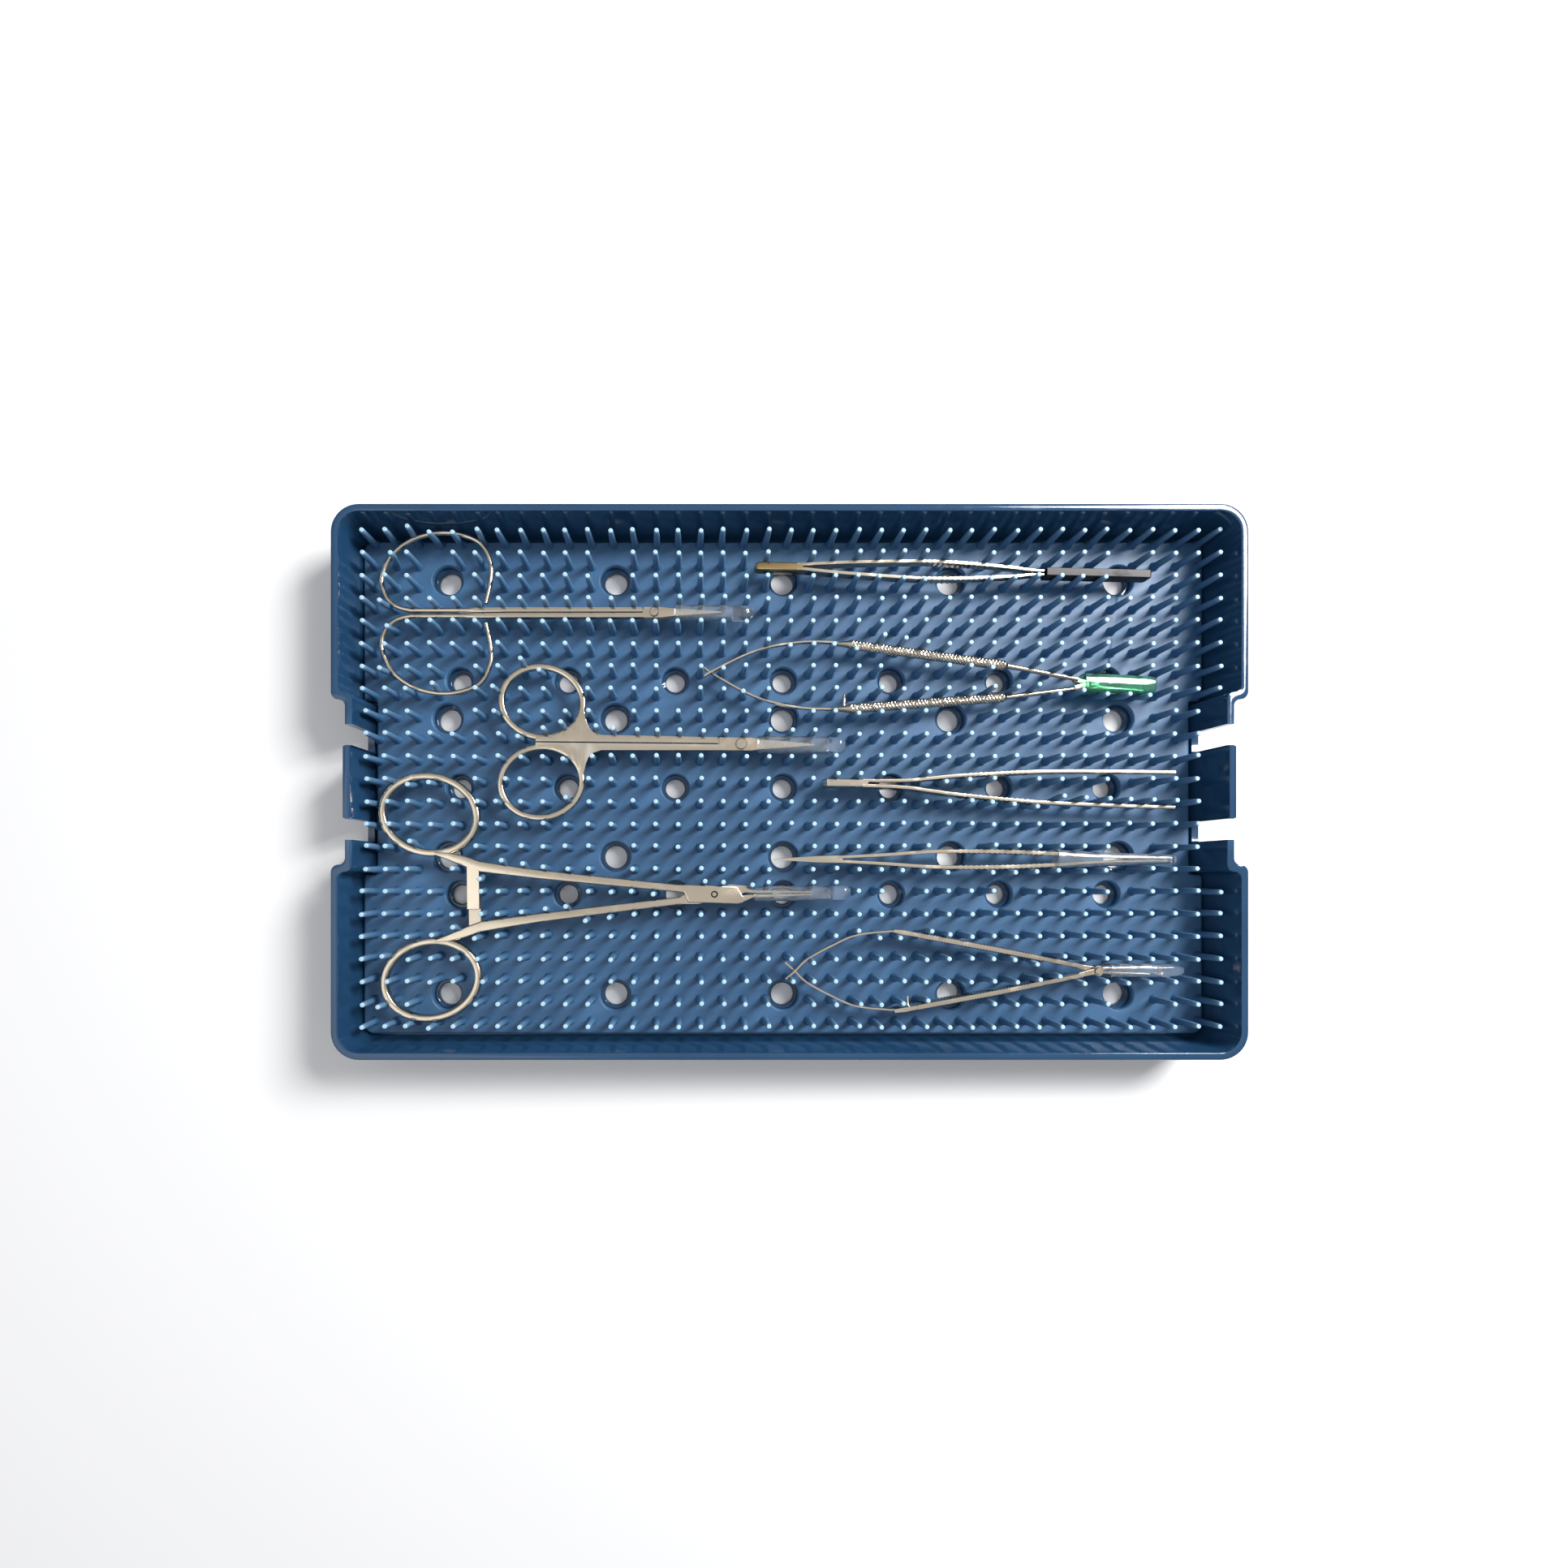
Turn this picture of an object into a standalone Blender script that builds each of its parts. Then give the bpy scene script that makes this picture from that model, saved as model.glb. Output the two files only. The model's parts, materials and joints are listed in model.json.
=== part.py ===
"""An instrument tray: a blue plastic base, a silicone finger mat and eight hand instruments.

Lengths are in millimetres here and become metres as each mesh is made. The tray's frame has its
origin under the middle of the base, +X along the long side and +Z up. An instrument's own frame
has +X towards its tips and its origin on its pivot, or where its legs leave its tail.
"""

import math

import bmesh
import bpy
from mathutils import Vector

MM = 0.001
GAP = 0.3

# Tray base
TRAY_LENGTH, TRAY_WIDTH, TRAY_HEIGHT = 254.0, 154.0, 19.0
TRAY_CORNER = 7.8
RIM_WIDTH = 2.1
FLOOR = 2.2
OUTER_DRAFT = 1.4
RECESS_LENGTH, RECESS_DEPTH, RECESS_FILLET = 45.8, 3.9, 2.5
SLOT_WIDTH, SLOT_CENTRE, SLOT_FLOOR = 5.8, 13.1, 4.6
SLOT_REACH = 9.0
TAB_WIDTH, TAB_PROUD = 20.0, 0.6
INNER_DRAFT = 1.2

# Finger mat
MAT_LENGTH, MAT_WIDTH, MAT_THICKNESS = 246.6, 144.6, 2.0
MAT_CORNER = 3.0
MAT_NOTCH_LENGTH, MAT_NOTCH_DEPTH, MAT_NOTCH_FILLET = 51.0, 3.9, 1.0
MAT_BOTTOM = FLOOR + GAP

# Drain holes: a 5 by 4 grid and a 7 by 3 grid, as (columns, rows, pitch x, pitch y)
WIDE_GRID = (5, 4, 49.3, 40.6)
CLOSE_GRID = (7, 3, 31.7, 31.4)
FLOOR_HOLE_RADII = (3.3, 2.8)
MAT_HOLE_RADII = (4.4, 3.95)
HOLE_SIDES = 12
# How far a cutter runs past what it cuts
OVER = 1.0

# Instruments lie with their middle plane at this height
LAY = 10.0
HALF_STOCK = 1.1
# The lap joint of two halves: one in the top layer and the other in the bottom layer
TOP_LAYER = (GAP / 2, HALF_STOCK)
BOTTOM_LAYER = (-HALF_STOCK, -GAP / 2)
BOTH_LAYERS = (-HALF_STOCK, HALF_STOCK)

ROUND = [(math.cos(math.tau * k / 8), math.sin(math.tau * k / 8)) for k in range(8)]
FLAT = [(1, 1), (-1, 1), (-1, -1), (1, -1)]
SLEEVE_SIDES, SLEEVE_POWER = 16, 0.6
SLEEVE = [
    tuple(math.copysign(abs(w) ** SLEEVE_POWER, w) for w in (math.cos(angle), math.sin(angle)))
    for angle in (math.tau * k / SLEEVE_SIDES for k in range(SLEEVE_SIDES))
]

MATERIALS = {
    "blue_plastic": ((0.035, 0.11, 0.27, 1), 0.15, 0.0),
    "silicone": ((0.11, 0.22, 0.42, 1), 0.45, 0.0),
    "steel": ((0.62, 0.56, 0.46, 1), 0.28, 1.0),
    "brass": ((0.60, 0.42, 0.18, 1), 0.30, 1.0),
    "clear_guard": ((0.85, 0.90, 0.92, 0.4), 0.10, 0.0),
    "green_guard": ((0.10, 0.55, 0.30, 0.6), 0.15, 0.0),
    "black_guard": ((0.01, 0.01, 0.012, 1), 0.40, 0.0),
}


# ---------------------------------------------------------------- meshes


def clear_scene():
    for old in list(bpy.data.objects):
        bpy.data.objects.remove(old, do_unlink=True)


def material(name):
    """The named Principled material, made on first use."""
    found = bpy.data.materials.get(name)
    if found:
        return found
    colour, roughness, metallic = MATERIALS[name]
    made = bpy.data.materials.new(name)
    made.use_nodes = True
    shader = made.node_tree.nodes["Principled BSDF"]
    shader.inputs["Base Color"].default_value = colour
    shader.inputs["Roughness"].default_value = roughness
    shader.inputs["Metallic"].default_value = metallic
    return made


def solid(rings, closed=False):
    """A body through equal rings of points: capped at its ends, or joined end to end if closed."""
    bm = bmesh.new()
    loops = [[bm.verts.new(Vector(p) * MM) for p in ring] for ring in rings]
    count = len(loops[0])
    pairs = list(zip(loops, loops[1:]))
    if closed:
        pairs.append((loops[-1], loops[0]))
    else:
        bm.faces.new(loops[0])
        bm.faces.new(reversed(loops[-1]))
    for low, high in pairs:
        for k in range(count):
            after = (k + 1) % count
            bm.faces.new((low[k], high[k], high[after], low[after]))
    bmesh.ops.recalc_face_normals(bm, faces=bm.faces)
    mesh = bpy.data.meshes.new("solid")
    bm.to_mesh(mesh)
    bm.free()
    return mesh


def prism(low, z_low, high, z_high):
    """A body between one outline at z_low and another with as many points at z_high."""
    return solid([[(x, y, z_low) for x, y in low], [(x, y, z_high) for x, y in high]])


def block(low, high):
    (x0, y0, z0), (x1, y1, z1) = low, high
    corners = [(x0, y0), (x1, y0), (x1, y1), (x0, y1)]
    return prism(corners, z0, corners, z1)


def cylinder(radius, z_low, z_high, centre=(0, 0), sides=16):
    angles = [math.tau * k / sides for k in range(sides)]
    rim = [(centre[0] + radius * math.cos(a), centre[1] + radius * math.sin(a)) for a in angles]
    return prism(rim, z_low, rim, z_high)


def bar(stations):
    """A rectangular bar along X through (x, y low, y high, (z low, z high)) stations."""
    return solid([
        [(x, y0, z[0]), (x, y1, z[0]), (x, y1, z[1]), (x, y0, z[1])]
        for x, y0, y1, z in stations
    ])


def sweep(stations, section, closed=False):
    """A section carried along (x, y, z, half width, half height) stations, always upright in Z."""
    count = len(stations)
    rings = []
    for i, (x, y, z, half_width, half_height) in enumerate(stations):
        back = stations[i - 1] if i or closed else stations[i]
        ahead = stations[(i + 1) % count] if i + 1 < count or closed else stations[i]
        run = Vector((ahead[0] - back[0], ahead[1] - back[1])).normalized()
        rings.append([
            (x - run.y * half_width * w, y + run.x * half_width * w, z + half_height * h)
            for w, h in section
        ])
    return solid(rings, closed)


def smooth(points, spans=4):
    """Catmull-Rom stations through hand-placed ones, with spans steps between neighbours."""
    ends = [points[0], *points, points[-1]]
    found = []
    for a, b, c, d in zip(ends, ends[1:], ends[2:], ends[3:]):
        for step in range(spans):
            t = step / spans
            found.append(tuple(
                0.5 * (2 * q + (r - p) * t + (2 * p - 5 * q + 4 * r - s) * t * t
                       + (3 * q - p - 3 * r + s) * t ** 3)
                for p, q, r, s in zip(a, b, c, d)
            ))
    return [*found, points[-1]]


def oval(centre, radii, tilt, half_width, half_height, sides=28):
    """Closed stations round a tilted ellipse, for a finger ring."""
    turn = math.radians(tilt)
    found = []
    for k in range(sides):
        angle = math.tau * k / sides
        u, v = radii[0] * math.cos(angle), radii[1] * math.sin(angle)
        found.append((
            centre[0] + u * math.cos(turn) - v * math.sin(turn),
            centre[1] + u * math.sin(turn) + v * math.cos(turn),
            0.0, half_width, half_height,
        ))
    return found


def boolean(target, mesh, operation):
    """Joins mesh to the target, or cuts it away, and keeps the result as the target's mesh."""
    tool = bpy.data.objects.new("tool", mesh)
    bpy.context.collection.objects.link(tool)
    modifier = target.modifiers.new("Boolean", "BOOLEAN")
    modifier.object = tool
    modifier.operation = operation
    bpy.context.view_layer.update()
    graph = bpy.context.evaluated_depsgraph_get()
    result = bpy.data.meshes.new_from_object(target.evaluated_get(graph))
    target.modifiers.clear()
    target.data = result
    bpy.data.objects.remove(tool, do_unlink=True)


def part(name, finish, parent, first, joined=(), cut=()):
    """One named sub-part: its first mesh, the meshes joined to it, and the ones cut away."""
    made = bpy.data.objects.new(name, first)
    bpy.context.collection.objects.link(made)
    for mesh in joined:
        boolean(made, mesh, "UNION")
    for mesh in cut:
        boolean(made, mesh, "DIFFERENCE")
    made.data.name = name
    made.data.materials.clear()
    made.data.materials.append(material(finish))
    made.data.shade_smooth()
    made.data.set_sharp_from_angle(angle=math.radians(35))
    made.parent = parent
    return made


def place(name, x, y, degrees=0.0):
    """The empty that carries an instrument's own frame, at the height that it lies at."""
    empty = bpy.data.objects.new(name, None)
    bpy.context.collection.objects.link(empty)
    empty.location = (x * MM, y * MM, LAY * MM)
    empty.rotation_euler.z = math.radians(degrees)
    return empty


# ---------------------------------------------------------------- tray and mat


def arc(cx, cy, radius, start, end, steps):
    """Points from one angle to another, in degrees, round a centre."""
    return [
        (cx + radius * math.cos(math.radians(start + (end - start) * k / steps)),
         cy + radius * math.sin(math.radians(start + (end - start) * k / steps)))
        for k in range(steps + 1)
    ]


def end_outline(half_x, half_y, corner, notch_half, depth, fillet, tab=None):
    """The +X, +Y quarter of a tray outline, from the middle of the end to the long side."""
    inner_x = half_x - depth
    points = []
    if tab:
        tab_half, proud = tab
        points += [(inner_x + proud, 0.0), (inner_x + proud, tab_half), (inner_x, tab_half)]
    else:
        points.append((inner_x, 0.0))
    reach = min(fillet, depth / 2)
    points += arc(inner_x + reach, notch_half - reach, reach, 180, 90, 3)
    points += arc(half_x - reach, notch_half + reach, reach, -90, 0, 3)
    points += arc(half_x - corner, half_y - corner, corner, 0, 90, 6)
    return points


def full_outline(quarter):
    """The closed outline that one quarter makes when mirrored in X and Y."""
    top_left = [(-x, y) for x, y in reversed(quarter)]
    bottom_left = [(-x, -y) for x, y in quarter]
    bottom_right = [(x, -y) for x, y in reversed(quarter)]
    points = [*quarter, *top_left, *bottom_left, *bottom_right]
    kept = []
    for p in points:
        if not kept or math.dist(p, kept[-1]) > 1e-6:
            kept.append(p)
    return kept[:-1] if math.dist(kept[0], kept[-1]) < 1e-6 else kept


def tray_outline(inset, tab=None):
    """The rim's outline, moved inwards by inset all round."""
    return full_outline(end_outline(
        TRAY_LENGTH / 2 - inset, TRAY_WIDTH / 2 - inset, TRAY_CORNER - inset,
        RECESS_LENGTH / 2 + min(inset, RIM_WIDTH), RECESS_DEPTH, RECESS_FILLET, tab,
    ))


def hole_centres():
    """(x, y, which grid) of every drain hole."""
    for grid, (columns, rows, pitch_x, pitch_y) in enumerate((WIDE_GRID, CLOSE_GRID)):
        for i in range(columns):
            for j in range(rows):
                yield (i - (columns - 1) / 2) * pitch_x, (j - (rows - 1) / 2) * pitch_y, grid


def drill(radii, z_low, z_high):
    """All the drain holes as one cutter."""
    bm = bmesh.new()
    for x, y, grid in hole_centres():
        mesh = cylinder(radii[grid], z_low, z_high, (x, y), HOLE_SIDES)
        bm.from_mesh(mesh)
        bpy.data.meshes.remove(mesh)
    cutter = bpy.data.meshes.new("drill")
    bm.to_mesh(cutter)
    bm.free()
    return cutter


def build_tray_base():
    tab = (TAB_WIDTH / 2, TAB_PROUD)
    body = prism(tray_outline(OUTER_DRAFT, tab), 0, tray_outline(0, tab), TRAY_HEIGHT)
    cavity = prism(
        tray_outline(RIM_WIDTH + INNER_DRAFT), FLOOR,
        tray_outline(RIM_WIDTH - OVER * INNER_DRAFT / (TRAY_HEIGHT - FLOOR)), TRAY_HEIGHT + OVER,
    )
    slots = [
        block(
            (side * TRAY_LENGTH / 2 - SLOT_REACH, row * SLOT_CENTRE - SLOT_WIDTH / 2, SLOT_FLOOR),
            (side * TRAY_LENGTH / 2 + SLOT_REACH, row * SLOT_CENTRE + SLOT_WIDTH / 2, TRAY_HEIGHT + OVER),
        )
        for side in (-1, 1) for row in (-1, 1)
    ]
    part("tray_base", "blue_plastic", None, body,
         cut=[cavity, *slots, drill(FLOOR_HOLE_RADII, -OVER, FLOOR + OVER)])


def build_finger_mat():
    outline = full_outline(end_outline(
        MAT_LENGTH / 2, MAT_WIDTH / 2, MAT_CORNER, MAT_NOTCH_LENGTH / 2, MAT_NOTCH_DEPTH,
        MAT_NOTCH_FILLET,
    ))
    top = MAT_BOTTOM + MAT_THICKNESS
    part("finger_mat", "silicone", None, prism(outline, MAT_BOTTOM, outline, top),
         cut=[drill(MAT_HOLE_RADII, MAT_BOTTOM - OVER, top + OVER)])


# ---------------------------------------------------------------- shared instrument pieces


def pivot_screw(name, frame, radius, head_radius, head_height=0.5):
    """A screw through the lap joint, with a head that stands clear of the top half."""
    seat = HALF_STOCK + GAP
    part(name, "steel", frame, cylinder(radius, -HALF_STOCK, seat + head_height / 2, sides=12),
         joined=[cylinder(head_radius, seat, seat + head_height, sides=16)])


def sleeve(name, finish, frame, stations, wall, section=SLEEVE):
    """A tip guard: (x, y, half width, half height) stations, open at its first end."""
    outer = [(x, y, 0.0, w, h) for x, y, w, h in stations]
    inner = [(x, y, 0.0, w - wall, h - wall) for x, y, w, h in stations[:-2]]
    mouth = (inner[0][0] - OVER, *inner[0][1:])
    part(name, finish, frame, sweep(outer, section), cut=[sweep([mouth, *inner], section)])


# ---------------------------------------------------------------- loop scissors

# One wire bow, from its free end round to the shank, as (x, y) for the +Y side
BOW = [
    (-48.4, 2.9), (-47.0, 9.5), (-47.1, 14.6), (-50.0, 20.1), (-56.3, 22.7), (-63.0, 22.9),
    (-69.8, 20.9), (-75.4, 16.5), (-78.2, 10.2), (-77.4, 5.4), (-74.6, 2.3), (-70.5, 0.95),
    (-66.0, 0.85),
]
BOW_WIRE = 0.68


def build_loop_scissors():
    frame = place("loop_scissors", -37.7, 49.5)
    for name, side, layer in (("upper_half", 1, BOTTOM_LAYER), ("lower_half", -1, TOP_LAYER)):
        wire = [(x, y * side, 0.0, BOW_WIRE, BOW_WIRE) for x, y in BOW]
        wire.append((-40.0, 0.85 * side, 0.0, BOW_WIRE, BOW_WIRE))
        near, far = sorted((0.15 * side, 1.45 * side))
        shank = bar([
            (-50.0, near, far, (-0.6, 0.6)), (-44.0, near, far, BOTH_LAYERS),
            (-3.4, near, far, BOTH_LAYERS), (-3.3, near, far, layer), (-2.4, near, far, layer),
        ])
        blade = bar([
            (-2.9, -1.55, 1.55, layer), (2.0, -1.55, 1.55, layer), (6.0, -1.1, 1.1, layer),
            (12.0, -0.7, 0.7, layer), (19.3, -0.2, 0.2, layer),
        ])
        part(f"loop_scissors_{name}", "steel", frame, sweep(smooth(wire), ROUND),
             joined=[shank, blade], cut=[cylinder(0.95, -3, 3)])
    pivot_screw("loop_scissors_screw", frame, 0.62, 1.3)
    sleeve("loop_scissors_tip_guard", "clear_guard", frame, [
        (6.0, 0, 2.15, 2.15), (22.5, 0, 2.1, 2.1), (26.6, 0, 1.9, 1.9), (28.4, 0, 0.9, 0.9),
    ], 0.4)


# ---------------------------------------------------------------- iris scissors


# The web that carries each finger ring into its shank, as (x, outer edge)
IRIS_WEB = [
    (-58.8, 1.5), (-54.7, 1.5), (-51.0, 2.7), (-48.0, 4.9), (-46.1, 8.0), (-45.4, 9.6), (-44.9, 8.6),
    (-44.4, 6.2), (-43.6, 4.3), (-42.3, 3.0), (-40.0, 2.2),
]


def build_iris_scissors():
    frame = place("iris_scissors", -12.8, 11.8, -0.6)
    for name, side, layer in (("upper_half", 1, BOTTOM_LAYER), ("lower_half", -1, TOP_LAYER)):
        ring = oval((-57.2, 11.5 * side), (11.7, 10.1), -9 * side, 0.93, HALF_STOCK)
        near = 0.15 * side
        shank = bar([
            (x, *sorted((near, far * side)), z) for x, far, z in (
                *((x, far, BOTH_LAYERS) for x, far in IRIS_WEB), (-6.8, 1.9, BOTH_LAYERS),
                (-6.7, 1.9, layer), (-5.6, 1.9, layer),
            )
        ])
        blade = bar([
            (-6.2, -1.9, 1.9, layer), (3.0, -1.9, 1.9, layer), (5.5, -1.5, 1.5, layer),
            (13.0, -0.95, 0.95, layer), (21.0, -0.25, 0.25, layer),
        ])
        part(f"iris_scissors_{name}", "steel", frame, sweep(ring, FLAT, closed=True),
             joined=[shank, blade], cut=[cylinder(1.15, -3, 3)])
    pivot_screw("iris_scissors_screw", frame, 0.8, 1.6)
    sleeve("iris_scissors_tip_guard", "clear_guard", frame, [
        (5.0, 0, 2.45, 2.2), (25.0, 0, 2.4, 2.1), (28.6, 0, 2.1, 1.9), (29.9, 0, 1.2, 1.0),
    ], 0.4)


# ---------------------------------------------------------------- clamp

CLAMP_HALF = 2.0
TONGUE = (-0.4, 0.4)
TONGUE_SLOT = (-0.7, 0.7)


def clamp_shank(side, end):
    """The long arm from a finger ring to the box lock."""
    full = (-CLAMP_HALF * 0.75, CLAMP_HALF * 0.75)
    stations = [
        (-80.0, 12.1, 13.1), (-76.0, 10.6, 12.8), (-71.5, 8.7, 11.7), (-66.7, 7.0, 10.1),
        (-50.0, 4.9, 7.5), (-10.2, 0.7, 2.9), (end, 0.35, 2.85),
    ]
    return bar([(x, *sorted((y0 * side, y1 * side)), full) for x, y0, y1 in stations])


def clamp_ratchet(side):
    """The toothed bar that reaches towards the other arm, in its own layer."""
    layer = (GAP / 2, 1.45) if side > 0 else (-1.45, -GAP / 2)
    reach = sorted((9.6 * side, -3.6 * side))
    return block((-70.6, reach[0], layer[0]), (-67.2, reach[1], layer[1]))


def clamp_jaw(side):
    tall = (-1.0, 1.0)
    stations = [
        (7.6, 0.35, 2.6, (-1.4, 1.4)), (11.0, 0.15, 1.15, tall), (20.0, 0.15, 0.85, tall),
        (28.0, 0.15, 0.5, tall),
    ]
    return bar([(x, *sorted((y0 * side, y1 * side)), z) for x, y0, y1, z in stations])


def build_clamp():
    frame = place("clamp", -20.5, -31.2, 0.6)
    ring_size = dict(radii=(13.6, 10.95), half_width=1.08, half_height=1.4)
    female = sweep(oval((-81.4, 23.7), tilt=-11, **ring_size), FLAT, closed=True)
    box = bar([
        (-8.6, 0.35, 2.85, (-2.1, 2.1)), (-7.6, -2.2, 2.9, (-2.1, 2.1)),
        (6.6, -2.9, 2.2, (-2.1, 2.1)), (8.0, -2.6, -0.35, (-2.1, 2.1)),
    ])
    slot = bar([
        (-9.0, -3.6, 0.05, TONGUE_SLOT), (-4.5, -3.6, 1.5, TONGUE_SLOT),
        (4.5, -1.5, 3.6, TONGUE_SLOT), (9.0, -0.05, 3.6, TONGUE_SLOT),
    ])
    part("clamp_upper_half", "steel", frame, female,
         joined=[clamp_shank(1, -8.0), clamp_ratchet(1), box, clamp_jaw(-1)],
         cut=[slot, cylinder(1.0, -4, 4)])
    male = sweep(oval((-81.4, -23.7), tilt=11, **ring_size), FLAT, closed=True)
    tongue = bar([
        (-9.8, -2.7, -0.45, TONGUE), (-4.5, -2.7, 0.6, TONGUE),
        (4.5, -0.6, 2.7, TONGUE), (9.4, 0.45, 2.4, TONGUE),
    ])
    part("clamp_lower_half", "steel", frame, male,
         joined=[clamp_shank(-1, -9.3), clamp_ratchet(-1), tongue, clamp_jaw_ahead()],
         cut=[cylinder(1.0, -4, 4)])
    part("clamp_pin", "steel", frame, cylinder(0.7, -2.1, 2.1, sides=12))
    sleeve("clamp_tip_guard", "clear_guard", frame, [
        (11.7, 0, 2.2, 2.0), (33.0, 0, 2.1, 1.9), (37.4, 0, 2.0, 1.8), (39.0, 0, 1.3, 1.1),
    ], 0.35)


def clamp_jaw_ahead():
    """The tongue half's jaw, which starts past the end of the box."""
    tall = (-1.0, 1.0)
    return bar([
        (8.5, 0.45, 2.3, tall), (11.0, 0.15, 1.15, tall), (20.0, 0.15, 0.85, tall), (28.0, 0.15, 0.5, tall),
    ])


# ---------------------------------------------------------------- forceps and tweezers


def leg(name, frame, side, stations, height, taper=1.0):
    """A spring leg through (x, y, half thickness) stations, as deep as its height."""
    last = stations[-1][0]
    path = [
        (x, y * side, 0.0, thick, height * (1 - (1 - taper) * x / last))
        for x, y, thick in stations
    ]
    part(name, "steel", frame, sweep(smooth(path, 3), FLAT))


def build_sheathed_forceps():
    frame = place("sheathed_forceps", 4.7, 62.3, -1.25)
    part("sheathed_forceps_tail", "brass", frame, bar([
        (-13.3, -0.9, 0.9, (-1.4, 1.4)), (-12.4, -1.15, 1.15, (-1.9, 1.9)), (0, -1.15, 1.15, (-1.9, 1.9)),
    ]))
    spread = [(0.3, 0.65, 0.48), (12.0, 1.5, 0.5), (33.0, 2.4, 0.5), (46.4, 2.15, 0.5),
              (60.0, 1.25, 0.45), (69.5, 0.5, 0.3), (96.0, 0.45, 0.25)]
    for name, side in (("upper_leg", 1), ("lower_leg", -1)):
        leg(f"sheathed_forceps_{name}", frame, side, spread, 1.9, 0.5)
    sleeve("sheathed_forceps_sheath", "black_guard", frame, [
        (69.6, 0, 1.2, 2.3), (84.0, 0, 1.2, 2.3), (97.5, 0, 1.2, 2.2), (98.7, 0, 1.2, 2.1),
        (99.4, 0, 1.0, 1.8),
    ], 0.3, FLAT)


def build_tweezers():
    frame = place("tweezers", 23.1, 0.4, -1.1)
    part("tweezers_tail", "steel", frame, bar([
        (-12.6, -0.9, 0.9, (-1.6, 1.6)), (-11.6, -1.15, 1.15, (-2.6, 2.6)), (0, -1.15, 1.15, (-3.0, 3.0)),
    ]))
    spread = [(0.3, 0.72, 0.5), (10.8, 1.0, 0.5), (18.0, 1.8, 0.5), (28.7, 2.95, 0.5),
              (49.3, 4.35, 0.5), (70.0, 4.85, 0.48), (88.4, 5.0, 0.45)]
    for name, side in (("upper_leg", 1), ("lower_leg", -1)):
        leg(f"tweezers_{name}", frame, side, spread, 3.0, 0.35)


def build_slim_forceps():
    frame = place("slim_forceps", 16.1, -21.2)
    part("slim_forceps_tail", "steel", frame, bar([
        (-19.5, -0.15, 0.15, (-0.4, 0.4)), (-8.0, -0.9, 0.9, (-1.3, 1.3)), (0, -1.1, 1.1, (-1.8, 1.8)),
    ]))
    spread = [(0.3, 0.66, 0.45), (12.0, 1.25, 0.5), (26.6, 2.2, 0.55), (44.6, 2.2, 0.6),
              (61.0, 1.6, 0.55), (74.0, 0.75, 0.4), (93.0, 0.42, 0.24)]
    for name, side in (("upper_leg", 1), ("lower_leg", -1)):
        leg(f"slim_forceps_{name}", frame, side, spread, 1.9, 0.5)
    sleeve("slim_forceps_tip_guard", "clear_guard", frame, [
        (61.4, 0, 2.7, 2.6), (76.0, 0, 2.0, 2.3), (93.8, 0, 1.3, 1.8), (94.6, 0, 1.15, 1.6),
        (95.2, 0, 0.85, 1.2),
    ], 0.4)


# ---------------------------------------------------------------- spring needle holders


def needle_jaw(side, opening, length, root, layer):
    """A jaw that leans off the middle line, so that the two meet as the handles close."""
    lean = math.tan(math.radians(opening / 2))
    stations = []
    for x, thick in ((1.2, root), (length * 0.6, 0.65), (length, 0.42)):
        inner = GAP / 2 + x * lean
        stations.append((x, *sorted((side * inner, side * (inner + thick))), layer))
    return bar(stations)


def holder_half(name, frame, side, layer, handle, lap, jaw):
    """One half of a needle holder: handle, rod, lap plate and the jaw on the other side."""
    (shape, section), (lap_radius, hole) = handle, lap
    opening, length, root = jaw
    spine = sweep([(x, y * side, 0.0, w, h) for x, y, w, h in shape], section)
    root_y = shape[-1][1] * side
    rise = sorted((root_y - 0.6 * side, root_y + 0.6 * side))
    link = bar([
        (shape[-1][0] - 1.2, *rise, layer), (-1.0, *sorted((-0.6 * side, 1.1 * side)), layer),
        (0.4, -0.9, 0.9, layer),
    ])
    part(name, "steel", frame, spine, joined=[
        link, cylinder(lap_radius, *layer, sides=16), needle_jaw(-side, opening, length, root, layer),
    ], cut=[cylinder(hole, -3, 3)])


def leaf_spring(name, frame, side, stations, layer):
    """A flat spring from its free tail, across the middle line and out to a handle."""
    middle, half = sum(layer) / 2, (layer[1] - layer[0]) / 2
    path = [(x, y * side, middle, 0.28, half) for x, y in stations]
    part(name, "steel", frame, sweep(smooth(path, 3), FLAT))


def stop_pin(x, y_low, y_high, radius):
    """A pin that points from the lower handle towards the upper one."""
    return sweep([(x, y, 0.0, radius, radius) for y in (y_low, y_high)], ROUND)


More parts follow.
